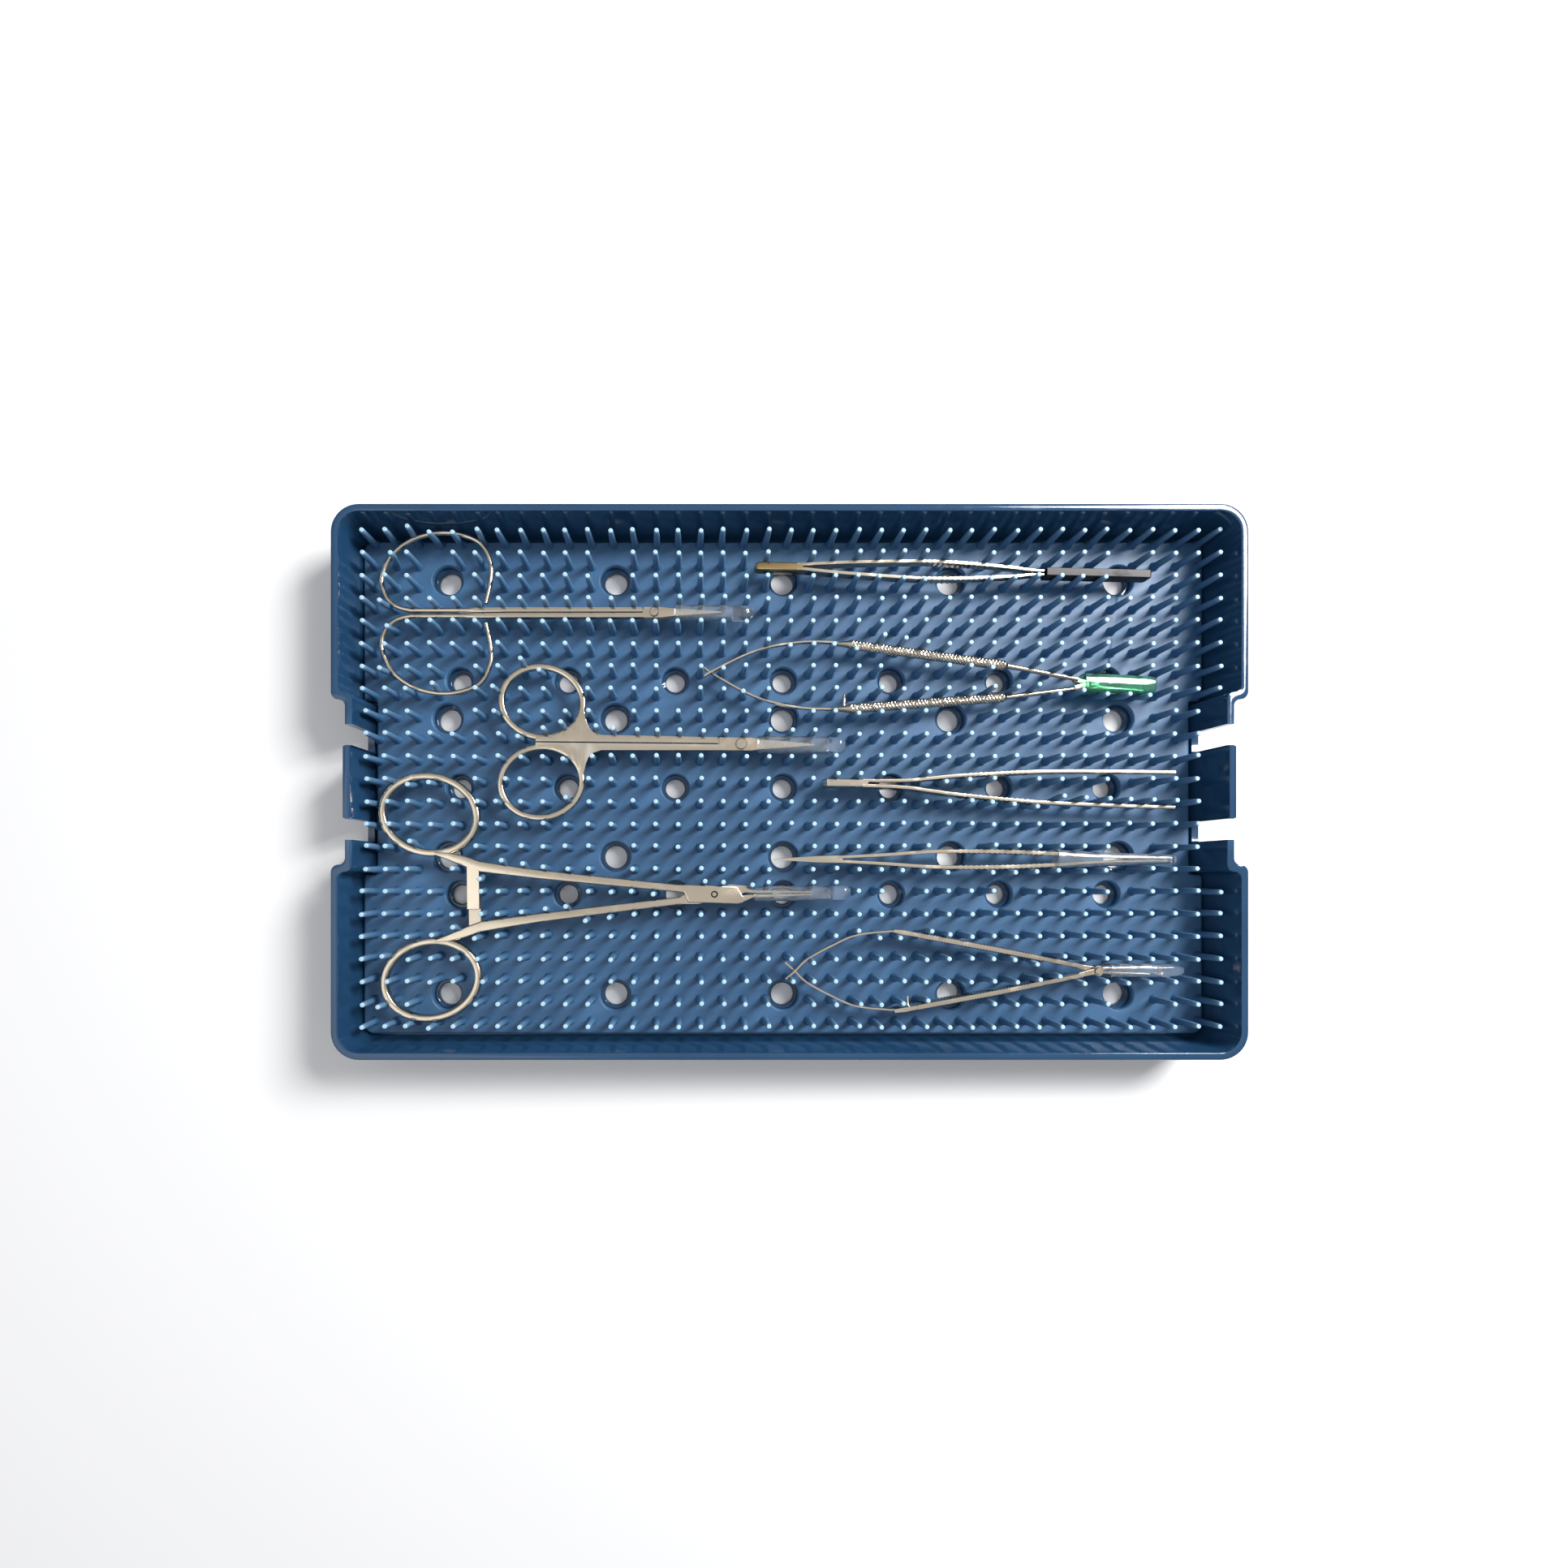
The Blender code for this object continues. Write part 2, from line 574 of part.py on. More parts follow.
def build_round_needle_holder():
    name = "round_needle_holder"
    frame = place(name, 88.0, 29.1, -1.75)
    handle = [(-74.6, 9.3, 0.35, 0.8), (-70.6, 9.3, 0.95, 1.2), (-69.4, 9.2, 1.35, 1.35),
              (-25.4, 4.6, 1.35, 1.35), (-24.4, 4.5, 0.75, 0.75), (-4.0, 1.3, 0.62, 0.62)]
    for word, side, layer in (("upper_handle", 1, BOTTOM_LAYER), ("lower_handle", -1, TOP_LAYER)):
        holder_half(f"{name}_{word}", frame, side, layer, (handle, ROUND), (1.55, 0.92), (9.0, 15.0, 1.2))
    spring = [(-111.4, -1.5), (-109.2, 0.0), (-100.0, 4.9), (-92.5, 7.6), (-83.0, 9.2), (-74.9, 9.3)]
    leaf_spring(f"{name}_upper_spring", frame, 1, spring, (0.2, 1.9))
    leaf_spring(f"{name}_lower_spring", frame, -1, spring, (-1.9, -0.2))
    part(f"{name}_stop_post", "steel", frame, stop_pin(-71.0, -8.0, -5.1, 0.45))
    pivot_screw(f"{name}_pivot_screw", frame, 0.6, 1.15, 0.4)
    sleeve(f"{name}_tip_guard", "green_guard", frame, [
        (-2.8, 0, 2.85, 2.7), (4.0, 0, 2.8, 2.6), (15.7, 0, 2.5, 2.4), (17.4, 0, 2.0, 2.0),
        (18.2, 0, 1.1, 1.1),
    ], 0.4)


def build_flat_needle_holder():
    name = "flat_needle_holder"
    frame = place(name, 89.5, -53.1)
    handle = [(-58.7, 11.4, 0.55, 2.0), (-56.0, 11.0, 0.75, 2.4), (-30.0, 6.2, 0.75, 2.2),
              (-12.0, 2.7, 0.7, 1.4), (-4.5, 1.25, 0.6, 1.1)]
    for word, side, layer in (("upper_handle", 1, BOTTOM_LAYER), ("lower_handle", -1, TOP_LAYER)):
        holder_half(f"{name}_{word}", frame, side, layer, (handle, FLAT), (1.5, 0.92), (6.0, 15.0, 0.75))
    spring = [(-89.6, -2.3), (-87.0, 0.0), (-83.4, 3.4), (-76.3, 7.35), (-69.1, 10.3), (-59.0, 11.4)]
    leaf_spring(f"{name}_upper_spring", frame, 1, spring, (0.2, 1.9))
    leaf_spring(f"{name}_lower_spring", frame, -1, spring, (-1.9, -0.2))
    part(f"{name}_stop_post", "steel", frame, stop_pin(-54.4, -9.75, -7.2, 0.45))
    pivot_screw(f"{name}_pivot_screw", frame, 0.6, 1.15, 0.4)
    sleeve(f"{name}_tip_guard", "clear_guard", frame, [
        (3.1, 0, 1.95, 2.3), (18.0, 0, 1.85, 2.1), (23.0, 0, 1.5, 1.7), (24.6, 0, 0.7, 0.8),
    ], 0.35)


def main():
    clear_scene()
    build_tray_base()
    build_finger_mat()
    build_loop_scissors()
    build_iris_scissors()
    build_clamp()
    build_sheathed_forceps()
    build_tweezers()
    build_slim_forceps()
    build_round_needle_holder()
    build_flat_needle_holder()


main()
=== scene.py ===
"""The looks of a loaded instrument tray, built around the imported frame.

Lengths in the classes below are in millimetres and become metres as each mesh is made. Each
instrument's own frame has +X towards its tips; its place comes from its hinge in the frame, or
from where its tail lies if it has no hinge.
"""

import json
import logging
import math
import random
from dataclasses import dataclass, field
from enum import Enum
from typing import Callable, Iterable, Sequence

import bmesh  # noqa: E402
import bpy  # noqa: E402
from mathutils import Matrix, Vector  # noqa: E402
from mathutils.bvhtree import BVHTree  # noqa: E402

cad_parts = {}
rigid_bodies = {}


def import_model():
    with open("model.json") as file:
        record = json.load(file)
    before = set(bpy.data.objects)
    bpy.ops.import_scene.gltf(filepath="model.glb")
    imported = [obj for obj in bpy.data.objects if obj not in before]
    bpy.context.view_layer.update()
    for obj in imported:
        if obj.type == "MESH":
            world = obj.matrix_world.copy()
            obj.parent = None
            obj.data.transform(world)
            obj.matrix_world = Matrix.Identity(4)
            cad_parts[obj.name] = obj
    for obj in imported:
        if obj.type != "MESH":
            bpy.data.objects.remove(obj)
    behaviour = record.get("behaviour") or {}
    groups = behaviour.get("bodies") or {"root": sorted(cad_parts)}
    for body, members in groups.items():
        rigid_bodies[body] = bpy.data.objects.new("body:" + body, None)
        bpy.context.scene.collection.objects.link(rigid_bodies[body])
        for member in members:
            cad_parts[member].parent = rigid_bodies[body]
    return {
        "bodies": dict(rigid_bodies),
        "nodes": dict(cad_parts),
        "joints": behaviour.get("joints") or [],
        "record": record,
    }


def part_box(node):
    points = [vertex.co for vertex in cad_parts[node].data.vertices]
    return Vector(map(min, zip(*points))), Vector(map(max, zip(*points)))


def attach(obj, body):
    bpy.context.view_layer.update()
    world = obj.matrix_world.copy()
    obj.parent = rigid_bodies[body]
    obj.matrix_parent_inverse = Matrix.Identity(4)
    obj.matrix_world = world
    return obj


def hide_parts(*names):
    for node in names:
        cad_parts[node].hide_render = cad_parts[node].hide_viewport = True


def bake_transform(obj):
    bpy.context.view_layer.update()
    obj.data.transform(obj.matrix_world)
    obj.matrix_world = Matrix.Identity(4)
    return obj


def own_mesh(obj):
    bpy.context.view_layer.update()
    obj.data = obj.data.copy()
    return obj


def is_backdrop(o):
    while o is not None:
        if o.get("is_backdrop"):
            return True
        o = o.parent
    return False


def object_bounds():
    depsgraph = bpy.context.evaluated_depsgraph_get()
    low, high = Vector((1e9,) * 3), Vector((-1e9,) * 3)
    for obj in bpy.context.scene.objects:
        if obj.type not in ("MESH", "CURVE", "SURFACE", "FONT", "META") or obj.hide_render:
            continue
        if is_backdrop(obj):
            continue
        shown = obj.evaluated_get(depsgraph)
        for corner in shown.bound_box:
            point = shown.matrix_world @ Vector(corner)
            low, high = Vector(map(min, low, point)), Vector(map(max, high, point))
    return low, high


LOG = logging.getLogger("instrument_tray")
MM = 0.001
GAP = 0.3
HALF_STOCK = 1.1
TOP_LAYER = (GAP / 2, HALF_STOCK)
BOTTOM_LAYER = (-HALF_STOCK, -GAP / 2)
BOTH_LAYERS = (-HALF_STOCK, HALF_STOCK)
SHARP_ANGLE = math.radians(32)
FLAT_AREA = 20e-6
KEEN_EDGE = 0.06
MIDDLE_LINE = 0.2
SHORT_RUN = 0.02
MERGE_DISTANCE = 0.0005
SAME_PLACE = 1e-4
PATH_SPANS = 8
GUARD_SPANS = 4
RING_STEPS = 72
SCREW_TURN = 0.6
THROUGH = (-3, 3)
THROUGH_LOCK = (-4, 4)

GRAIN_DETAIL = 3.0
CLOUD_SCALE, CLOUD_DETAIL = 45.0, 4.0
SMEAR_SCALE, SMEAR_DETAIL = 190.0, 6.0
MARKS_START, MARKS_END = 0.52, 0.72
BRUSHED_STRETCH = 0.05
COAT_ROUGHNESS = 0.08
SCATTER_RADII = (0.6, 0.9, 1.0)
SCATTER_DEPTH = 2 * MM
BUMP_STRENGTH = 0.6

Point = tuple[float, ...]


# ---------------------------------------------------------------- finishes


class Pattern(Enum):
    """The surface pattern that a finish carries."""

    GRAIN = "moulded_grain"
    BRUSHED = "brushed_metal"


def new_group(name: str, inputs: dict[str, float], outputs: Sequence[str]) -> bpy.types.NodeTree:
    """An empty shader node group with float sockets.

    Args:
        name: the group's name.
        inputs: each input's name and default.
        outputs: the outputs' names.

    Returns:
        The group, with its input and output nodes placed.
    """
    tree = bpy.data.node_groups.new(name, "ShaderNodeTree")
    for label, value in inputs.items():
        socket = tree.interface.new_socket(label, in_out="INPUT", socket_type="NodeSocketFloat")
        socket.default_value = value
    for label in outputs:
        tree.interface.new_socket(label, in_out="OUTPUT", socket_type="NodeSocketFloat")
    tree.nodes.new("NodeGroupInput").name = "in"
    tree.nodes.new("NodeGroupOutput").name = "out"
    return tree


def noise(
    tree: bpy.types.NodeTree, vector: bpy.types.NodeSocket, scale: float, detail: float
) -> bpy.types.Node:
    """A noise texture that reads the given vector.

    Args:
        tree: the node tree.
        vector: the coordinates.
        scale: the noise's scale.
        detail: its octaves.

    Returns:
        The texture node.
    """
    node = tree.nodes.new("ShaderNodeTexNoise")
    node.inputs["Scale"].default_value = scale
    node.inputs["Detail"].default_value = detail
    tree.links.new(vector, node.inputs["Vector"])
    return node


def set_ramp(ramp: bpy.types.Node, stops: Sequence[tuple[float, Point]]) -> None:
    """Sets a colour ramp's stops.

    Args:
        ramp: the ramp's node, with its first two stops as they come.
        stops: (position, colour) of the two end stops, then of those between them.
    """
    elements = ramp.color_ramp.elements
    for element, (position, colour) in zip(list(elements), stops):
        element.position, element.color = position, colour
    for position, colour in stops[2:]:
        added = elements.new(position)
        added.color = colour


def spread_group() -> bpy.types.NodeTree:
    """Cloudy tone, fine grain and handling marks over a moulded or a metal surface.

    Returns:
        The node group.
    """
    inputs = {"Grain Scale": 1500.0, "Stretch": 1.0}
    tree = new_group("surface_spread", inputs, ("Height", "Tone", "Marks"))
    source, sink = tree.nodes["in"], tree.nodes["out"]
    coords = tree.nodes.new("ShaderNodeTexCoord")
    mapping = tree.nodes.new("ShaderNodeMapping")
    stretch = tree.nodes.new("ShaderNodeCombineXYZ")
    stretch.inputs["Y"].default_value = 1.0
    tree.links.new(source.outputs["Stretch"], stretch.inputs["X"])
    stretch.inputs["Z"].default_value = 1.0
    tree.links.new(coords.outputs["Object"], mapping.inputs["Vector"])
    tree.links.new(stretch.outputs["Vector"], mapping.inputs["Scale"])
    fine = noise(tree, mapping.outputs["Vector"], inputs["Grain Scale"], GRAIN_DETAIL)
    tree.links.new(source.outputs["Grain Scale"], fine.inputs["Scale"])
    tree.links.new(fine.outputs["Fac"], sink.inputs["Height"])
    cloudy = noise(tree, coords.outputs["Object"], CLOUD_SCALE, CLOUD_DETAIL)
    tree.links.new(cloudy.outputs["Fac"], sink.inputs["Tone"])
    smear = noise(tree, coords.outputs["Object"], SMEAR_SCALE, SMEAR_DETAIL)
    ramp = tree.nodes.new("ShaderNodeMapRange")
    ramp.inputs["From Min"].default_value = MARKS_START
    ramp.inputs["From Max"].default_value = MARKS_END
    tree.links.new(smear.outputs["Fac"], ramp.inputs["Value"])
    tree.links.new(ramp.outputs["Result"], sink.inputs["Marks"])
    return tree


def edge_group() -> bpy.types.NodeTree:
    """A mask of the convex edges, from how sharply the surface turns; the finishes lighten these edges,
    partly for rubbing and partly as a painted edge highlight.

    Returns:
        The node group.
    """
    tree = new_group("edge_wear", {"Sharpness": 0.56}, ("Edge",))
    source, sink = tree.nodes["in"], tree.nodes["out"]
    geometry = tree.nodes.new("ShaderNodeNewGeometry")
    ramp = tree.nodes.new("ShaderNodeMapRange")
    ramp.inputs["From Max"].default_value = 0.68
    tree.links.new(source.outputs["Sharpness"], ramp.inputs["From Min"])
    tree.links.new(geometry.outputs["Pointiness"], ramp.inputs["Value"])
    tree.links.new(ramp.outputs["Result"], sink.inputs["Edge"])
    return tree


@dataclass(frozen=True)
class Finish:
    """One finish: a Principled shader fed by the shared groups."""

    slot: str
    light: Point
    dark: Point
    roughness: tuple[float, float]
    metallic: float = 0.0
    transmission: float = 0.0
    ior: float = 1.5
    coat: float = 0.0
    subsurface: float = 0.0
    bump: float = 0.02
    grain: float = 1500.0
    pattern: Pattern = Pattern.GRAIN
    # edge: a lighter colour for convex edges, partly rubbing and partly a painted edge highlight
    edge: Point | None = None

    def build(self, groups: dict[str, bpy.types.NodeTree]) -> bpy.types.Material:
        """Makes the material.

        Args:
            groups: the shared node groups by name.

        Returns:
            The material, named for its slot.
        """
        made = bpy.data.materials.new(self.slot)
        made.use_nodes = True
        tree = made.node_tree
        shader = tree.nodes["Principled BSDF"]
        shader.inputs["Metallic"].default_value = self.metallic
        shader.inputs["Transmission Weight"].default_value = self.transmission
        shader.inputs["IOR"].default_value = self.ior
        shader.inputs["Coat Weight"].default_value = self.coat
        shader.inputs["Coat Roughness"].default_value = COAT_ROUGHNESS
        shader.inputs["Subsurface Weight"].default_value = self.subsurface
        shader.inputs["Subsurface Radius"].default_value = SCATTER_RADII
        shader.inputs["Subsurface Scale"].default_value = SCATTER_DEPTH
        spread = tree.nodes.new("ShaderNodeGroup")
        spread.node_tree = groups["spread"]
        spread.inputs["Grain Scale"].default_value = self.grain
        stretch = BRUSHED_STRETCH if self.pattern is Pattern.BRUSHED else 1.0
        spread.inputs["Stretch"].default_value = stretch
        colour = self._mix(tree, spread.outputs["Tone"], self.dark, self.light)
        # Convex edges are lightened: partly rubbing, partly a painted edge highlight.
        if self.edge:
            rub_and_highlight = tree.nodes.new("ShaderNodeGroup")
            rub_and_highlight.node_tree = groups["edge"]
            rubbed_and_lit = self._mix(tree, rub_and_highlight.outputs["Edge"], self.light, self.edge)
            tree.links.new(colour.outputs["Result"], rubbed_and_lit.inputs["A"])
            colour = rubbed_and_lit
        self.tint(tree, colour, shader)
        rough = tree.nodes.new("ShaderNodeMapRange")
        rough.inputs["To Min"].default_value, rough.inputs["To Max"].default_value = self.roughness
        tree.links.new(spread.outputs["Marks"], rough.inputs["Value"])
        tree.links.new(rough.outputs["Result"], shader.inputs["Roughness"])
        bump = tree.nodes.new("ShaderNodeBump")
        bump.inputs["Strength"].default_value = BUMP_STRENGTH
        bump.inputs["Distance"].default_value = self.bump * MM
        tree.links.new(spread.outputs["Height"], bump.inputs["Height"])
        tree.links.new(bump.outputs["Normal"], shader.inputs["Normal"])
        return made

    def tint(
        self, tree: bpy.types.NodeTree, colour: bpy.types.Node, shader: bpy.types.Node
    ) -> None:
        """Feeds the mixed colour to the shader.

        Args:
            tree: the node tree.
            colour: the mixed colour.
            shader: the Principled shader.
        """
        tree.links.new(colour.outputs["Result"], shader.inputs["Base Color"])

    @staticmethod
    def _mix(
        tree: bpy.types.NodeTree, factor: bpy.types.NodeSocket, low: Point, high: Point
    ) -> bpy.types.Node:
        """A colour mix from low to high by a factor.

        Args:
            tree: the node tree.
            factor: the socket that drives the mix.
            low: the colour at 0.
            high: the colour at 1.

        Returns:
            The mix node.
        """
        node = tree.nodes.new("ShaderNodeMix")
        node.data_type = "RGBA"
        node.inputs["A"].default_value = (*low, 1)
        node.inputs["B"].default_value = (*high, 1)
        tree.links.new(factor, node.inputs["Factor"])
        return node


@dataclass(frozen=True)
class SiliconeFinish(Finish):
    """Silicone lightened up each finger by the mesh's finger_height attribute, brightest at the dished
    tips: painted light on the finger tops.
    """

    # The tip colour and the ramp stops paint light onto the finger tops.
    tip: Point = (0.44, 0.64, 0.80)
    stops: tuple[tuple[float, Point], ...] = (
        (0.05, (0, 0, 0, 1)), (1.0, (0.95, 0.95, 0.95, 1)), (0.80, (0.16, 0.16, 0.16, 1)),
        (0.955, (0.40, 0.40, 0.40, 1)),
    )

    def tint(
        self, tree: bpy.types.NodeTree, colour: bpy.types.Node, shader: bpy.types.Node
    ) -> None:
        """Mixes the body colour towards the tip colour by height, a painted highlight on the finger
        tops.

        Args:
            tree: the node tree.
            colour: the mixed colour.
            shader: the Principled shader.
        """
        height = tree.nodes.new("ShaderNodeAttribute")
        height.attribute_name = "finger_height"
        ramp = tree.nodes.new("ShaderNodeValToRGB")
        set_ramp(ramp, self.stops)
        tree.links.new(height.outputs["Fac"], ramp.inputs["Fac"])
        painted_tip_light = self._mix(tree, ramp.outputs["Color"], self.light, self.tip)
        tree.links.new(colour.outputs["Result"], painted_tip_light.inputs["A"])
        tree.links.new(painted_tip_light.outputs["Result"], shader.inputs["Base Color"])


# The edge colours lighten convex edges, partly for rubbing and partly as a painted edge highlight.
FINISHES = (
    Finish("blue_plastic", (0.017, 0.064, 0.140), (0.009, 0.036, 0.086), (0.10, 0.22), coat=0.1,
           bump=0.012, grain=900, edge=(0.055, 0.150, 0.270)),
    SiliconeFinish("silicone", (0.052, 0.150, 0.292), (0.030, 0.098, 0.204), (0.46, 0.60),
                   subsurface=0.5, bump=0.02, grain=1100),
    Finish("steel", (0.76, 0.665, 0.530), (0.50, 0.430, 0.330), (0.20, 0.36), metallic=1.0, bump=0.012,
           grain=5200, pattern=Pattern.BRUSHED, edge=(0.90, 0.84, 0.72)),
    Finish("brass", (0.60, 0.42, 0.19), (0.36, 0.24, 0.09), (0.22, 0.36), metallic=1.0, bump=0.012,
           grain=4200, pattern=Pattern.BRUSHED, edge=(0.82, 0.64, 0.36)),
    Finish("clear_guard", (0.95, 0.975, 0.985), (0.88, 0.92, 0.94), (0.05, 0.16), transmission=0.95,
           ior=1.36, bump=0.05, grain=700),
    Finish("green_guard", (0.42, 0.80, 0.60), (0.22, 0.66, 0.42), (0.06, 0.16), transmission=0.90,
           ior=1.38, bump=0.04, grain=800),
    Finish("black_guard", (0.030, 0.023, 0.019), (0.010, 0.008, 0.007), (0.50, 0.64),
           bump=0.02, grain=1600),
)


# ---------------------------------------------------------------- mesh tools


class Section(Enum):
    """A sweep's cross-section: how many sides, and how square it is from 1, round, to 0."""

    ROUND = (16, 1.0)
    KNURLED = (40, 1.0)
    BAND = (16, 0.55)
    FLAT = (16, 0.22)
    SLEEVE = (24, 0.6)


def loft(
    stations: Sequence[Point], section: Section, closed: bool = False, upright: bool = False
) -> bmesh.types.BMesh:
    """Rings of one section bridged along a path.

    Args:
        stations: (x, y, z, half width, half height) along the path.
        section: the cross-section.
        closed: joins the last ring to the first instead of capping both.
        upright: keeps every ring square to X.

    Returns:
        A closed bmesh in millimetres.
    """
    sides, power = section.value
    bm = bmesh.new()
    rings = []
    count = len(stations)
    for i, (x, y, z, half_width, half_height) in enumerate(stations):
        back = stations[i - 1] if i or closed else stations[i]
        ahead = stations[(i + 1) % count] if i + 1 < count or closed else stations[i]
        run = Vector((ahead[0] - back[0], ahead[1] - back[1], 0)).normalized()
        if upright:
            run = Vector((1, 0, 0))
        ring = bmesh.ops.create_circle(bm, cap_ends=False, segments=sides, radius=1.0)["verts"]
        for v in ring:
            w = math.copysign(abs(v.co.x) ** power, v.co.x) * half_width
            h = math.copysign(abs(v.co.y) ** power, v.co.y) * half_height
            v.co = Vector((x - run.y * w, y + run.x * w, z + h))
        rings.append(list({e for v in ring for e in v.link_edges}))
    for low, high in zip(rings, rings[1:]):
        bmesh.ops.bridge_loops(bm, edges=low + high)
    if closed:
        bmesh.ops.bridge_loops(bm, edges=rings[-1] + rings[0])
    else:
        bmesh.ops.holes_fill(bm, edges=rings[0] + rings[-1], sides=sides)
    bmesh.ops.recalc_face_normals(bm, faces=bm.faces)
    return bm


def bar(stations: Sequence[Point], soft: float = 0.14, keen: bool = False) -> bmesh.types.BMesh:
    """A rectangular bar along X with eased edges.

    Args:
        stations: (x, y low, y high, (z low, z high)) along the bar.
        soft: the width of the eased edges.
        keen: leaves the edges along the middle line nearly sharp, where two halves meet.

    Returns:
        A closed bmesh in millimetres.
    """
    bm = bmesh.new()
    rings = []
    for x, y0, y1, (z0, z1) in stations:
        middle = Vector((x, (y0 + y1) / 2, (z0 + z1) / 2))
        place = Matrix.Translation(middle) @ Matrix.Rotation(math.pi / 2, 4, "Y")
        size = Matrix.Diagonal(((z1 - z0) / 2, (y1 - y0) / 2, 1, 1))
        place = place @ size @ Matrix.Rotation(math.pi / 4, 4, "Z")
        ring = bmesh.ops.create_circle(
            bm, cap_ends=False, segments=4, radius=math.sqrt(2), matrix=place
        )["verts"]
        rings.append(list({e for v in ring for e in v.link_edges}))
    for low, high in zip(rings, rings[1:]):
        bmesh.ops.bridge_loops(bm, edges=low + high)
    bmesh.ops.holes_fill(bm, edges=rings[0] + rings[-1], sides=4)
    bmesh.ops.recalc_face_normals(bm, faces=bm.faces)
    if soft:
        along = [e for e in bm.edges if abs((e.verts[0].co - e.verts[1].co).x) > SHORT_RUN]
        inner = [e for e in along if keen and max(abs(v.co.y) for v in e.verts) < MIDDLE_LINE]
        outer = [e for e in along if e not in inner]
        for edges, offset in ((outer, soft), (inner, KEEN_EDGE)):
            bmesh.ops.bevel(bm, geom=edges, offset=offset, segments=3, profile=0.5, affect="EDGES",
                            clamp_overlap=True, material=-1)
    return bm


def turned(profile: Sequence[tuple[float, float]], steps: int = 24) -> bmesh.types.BMesh:
    """A turned shape about Z.

    Args:
        profile: (radius, z) from the bottom pole to the top pole.
        steps: sides of the turn.

    Returns:
        A closed bmesh in millimetres.
    """
    bm = bmesh.new()
    line = [bm.verts.new((r, 0, z)) for r, z in profile]
    edges = [bm.edges.new(pair) for pair in zip(line, line[1:])]
    bmesh.ops.spin(bm, geom=line + edges, axis=(0, 0, 1), cent=(0, 0, 0), steps=steps,
                   angle=math.tau, use_merge=True)
    bmesh.ops.remove_doubles(bm, verts=bm.verts, dist=MERGE_DISTANCE)
    bmesh.ops.recalc_face_normals(bm, faces=bm.faces)
    return bm


def button(
    radius: float, low: float, high: float, ease: float = 0.12, steps: int = 32
) -> bmesh.types.BMesh:
    """A short turned cylinder with eased rims.

    Args:
        radius: the radius.
        low: its lower face.
        high: its upper face.
        ease: the rims' easing.
        steps: sides of the turn.

    Returns:
        A closed bmesh in millimetres.
    """
    return turned([
        (0, low), (radius - ease, low), (radius, low + ease), (radius, high - ease),
        (radius - ease, high), (0, high),
    ], steps)


def moved(bm: bmesh.types.BMesh, x: float, y: float, z: float = 0.0) -> bmesh.types.BMesh:
    """The same bmesh, shifted."""
    bmesh.ops.translate(bm, verts=bm.verts, vec=(x, y, z))
    return bm


def stretch_round(stations: Sequence[Point], spans: int) -> list[Point]:
    """Catmull-Rom stations through given ones.

    Args:
        stations: the given stations.
        spans: steps between neighbours.

    Returns:
        The finer stations.
    """
    ends = [stations[0], *stations, stations[-1]]
    found: list[Point] = []
    for a, b, c, d in zip(ends, ends[1:], ends[2:], ends[3:]):
        for step in range(spans):
            t = step / spans
            found.append(tuple(
                0.5 * (2 * q + (r - p) * t + (2 * p - 5 * q + 4 * r - s) * t * t
                       + (3 * q - p - 3 * r + s) * t ** 3)
                for p, q, r, s in zip(a, b, c, d)
            ))
    return [*found, stations[-1]]


def ridged(
    stations: Sequence[Point], start: float, end: float, pitch: float, depth: float
) -> list[Point]:
    """Stations with fine cross ridges added between two places along X.

    Args:
        stations: smooth stations in rising X.
        start: where the ridges begin.
        end: where they stop.
        pitch: from one ridge to the next.
        depth: how far a ridge stands over its valley.

    Returns:
        Stations with valleys and ridges between start and end.
    """
    outside = [s for s in stations if not start < s[0] < end]
    found = list(outside)
    for k in range(int((end - start) / pitch * 2) + 1):
        x = start + k * pitch / 2
        after = next(i for i, s in enumerate(stations) if s[0] >= x)
        low, high = stations[max(after - 1, 0)], stations[after]
        t = 0.0 if high[0] == low[0] else (x - low[0]) / (high[0] - low[0])
        at = [p + (q - p) * t for p, q in zip(low, high)]
        at[3] += depth if k % 2 else -depth
        found.append(tuple(at))
    return sorted(found)


# ---------------------------------------------------------------- the workshop


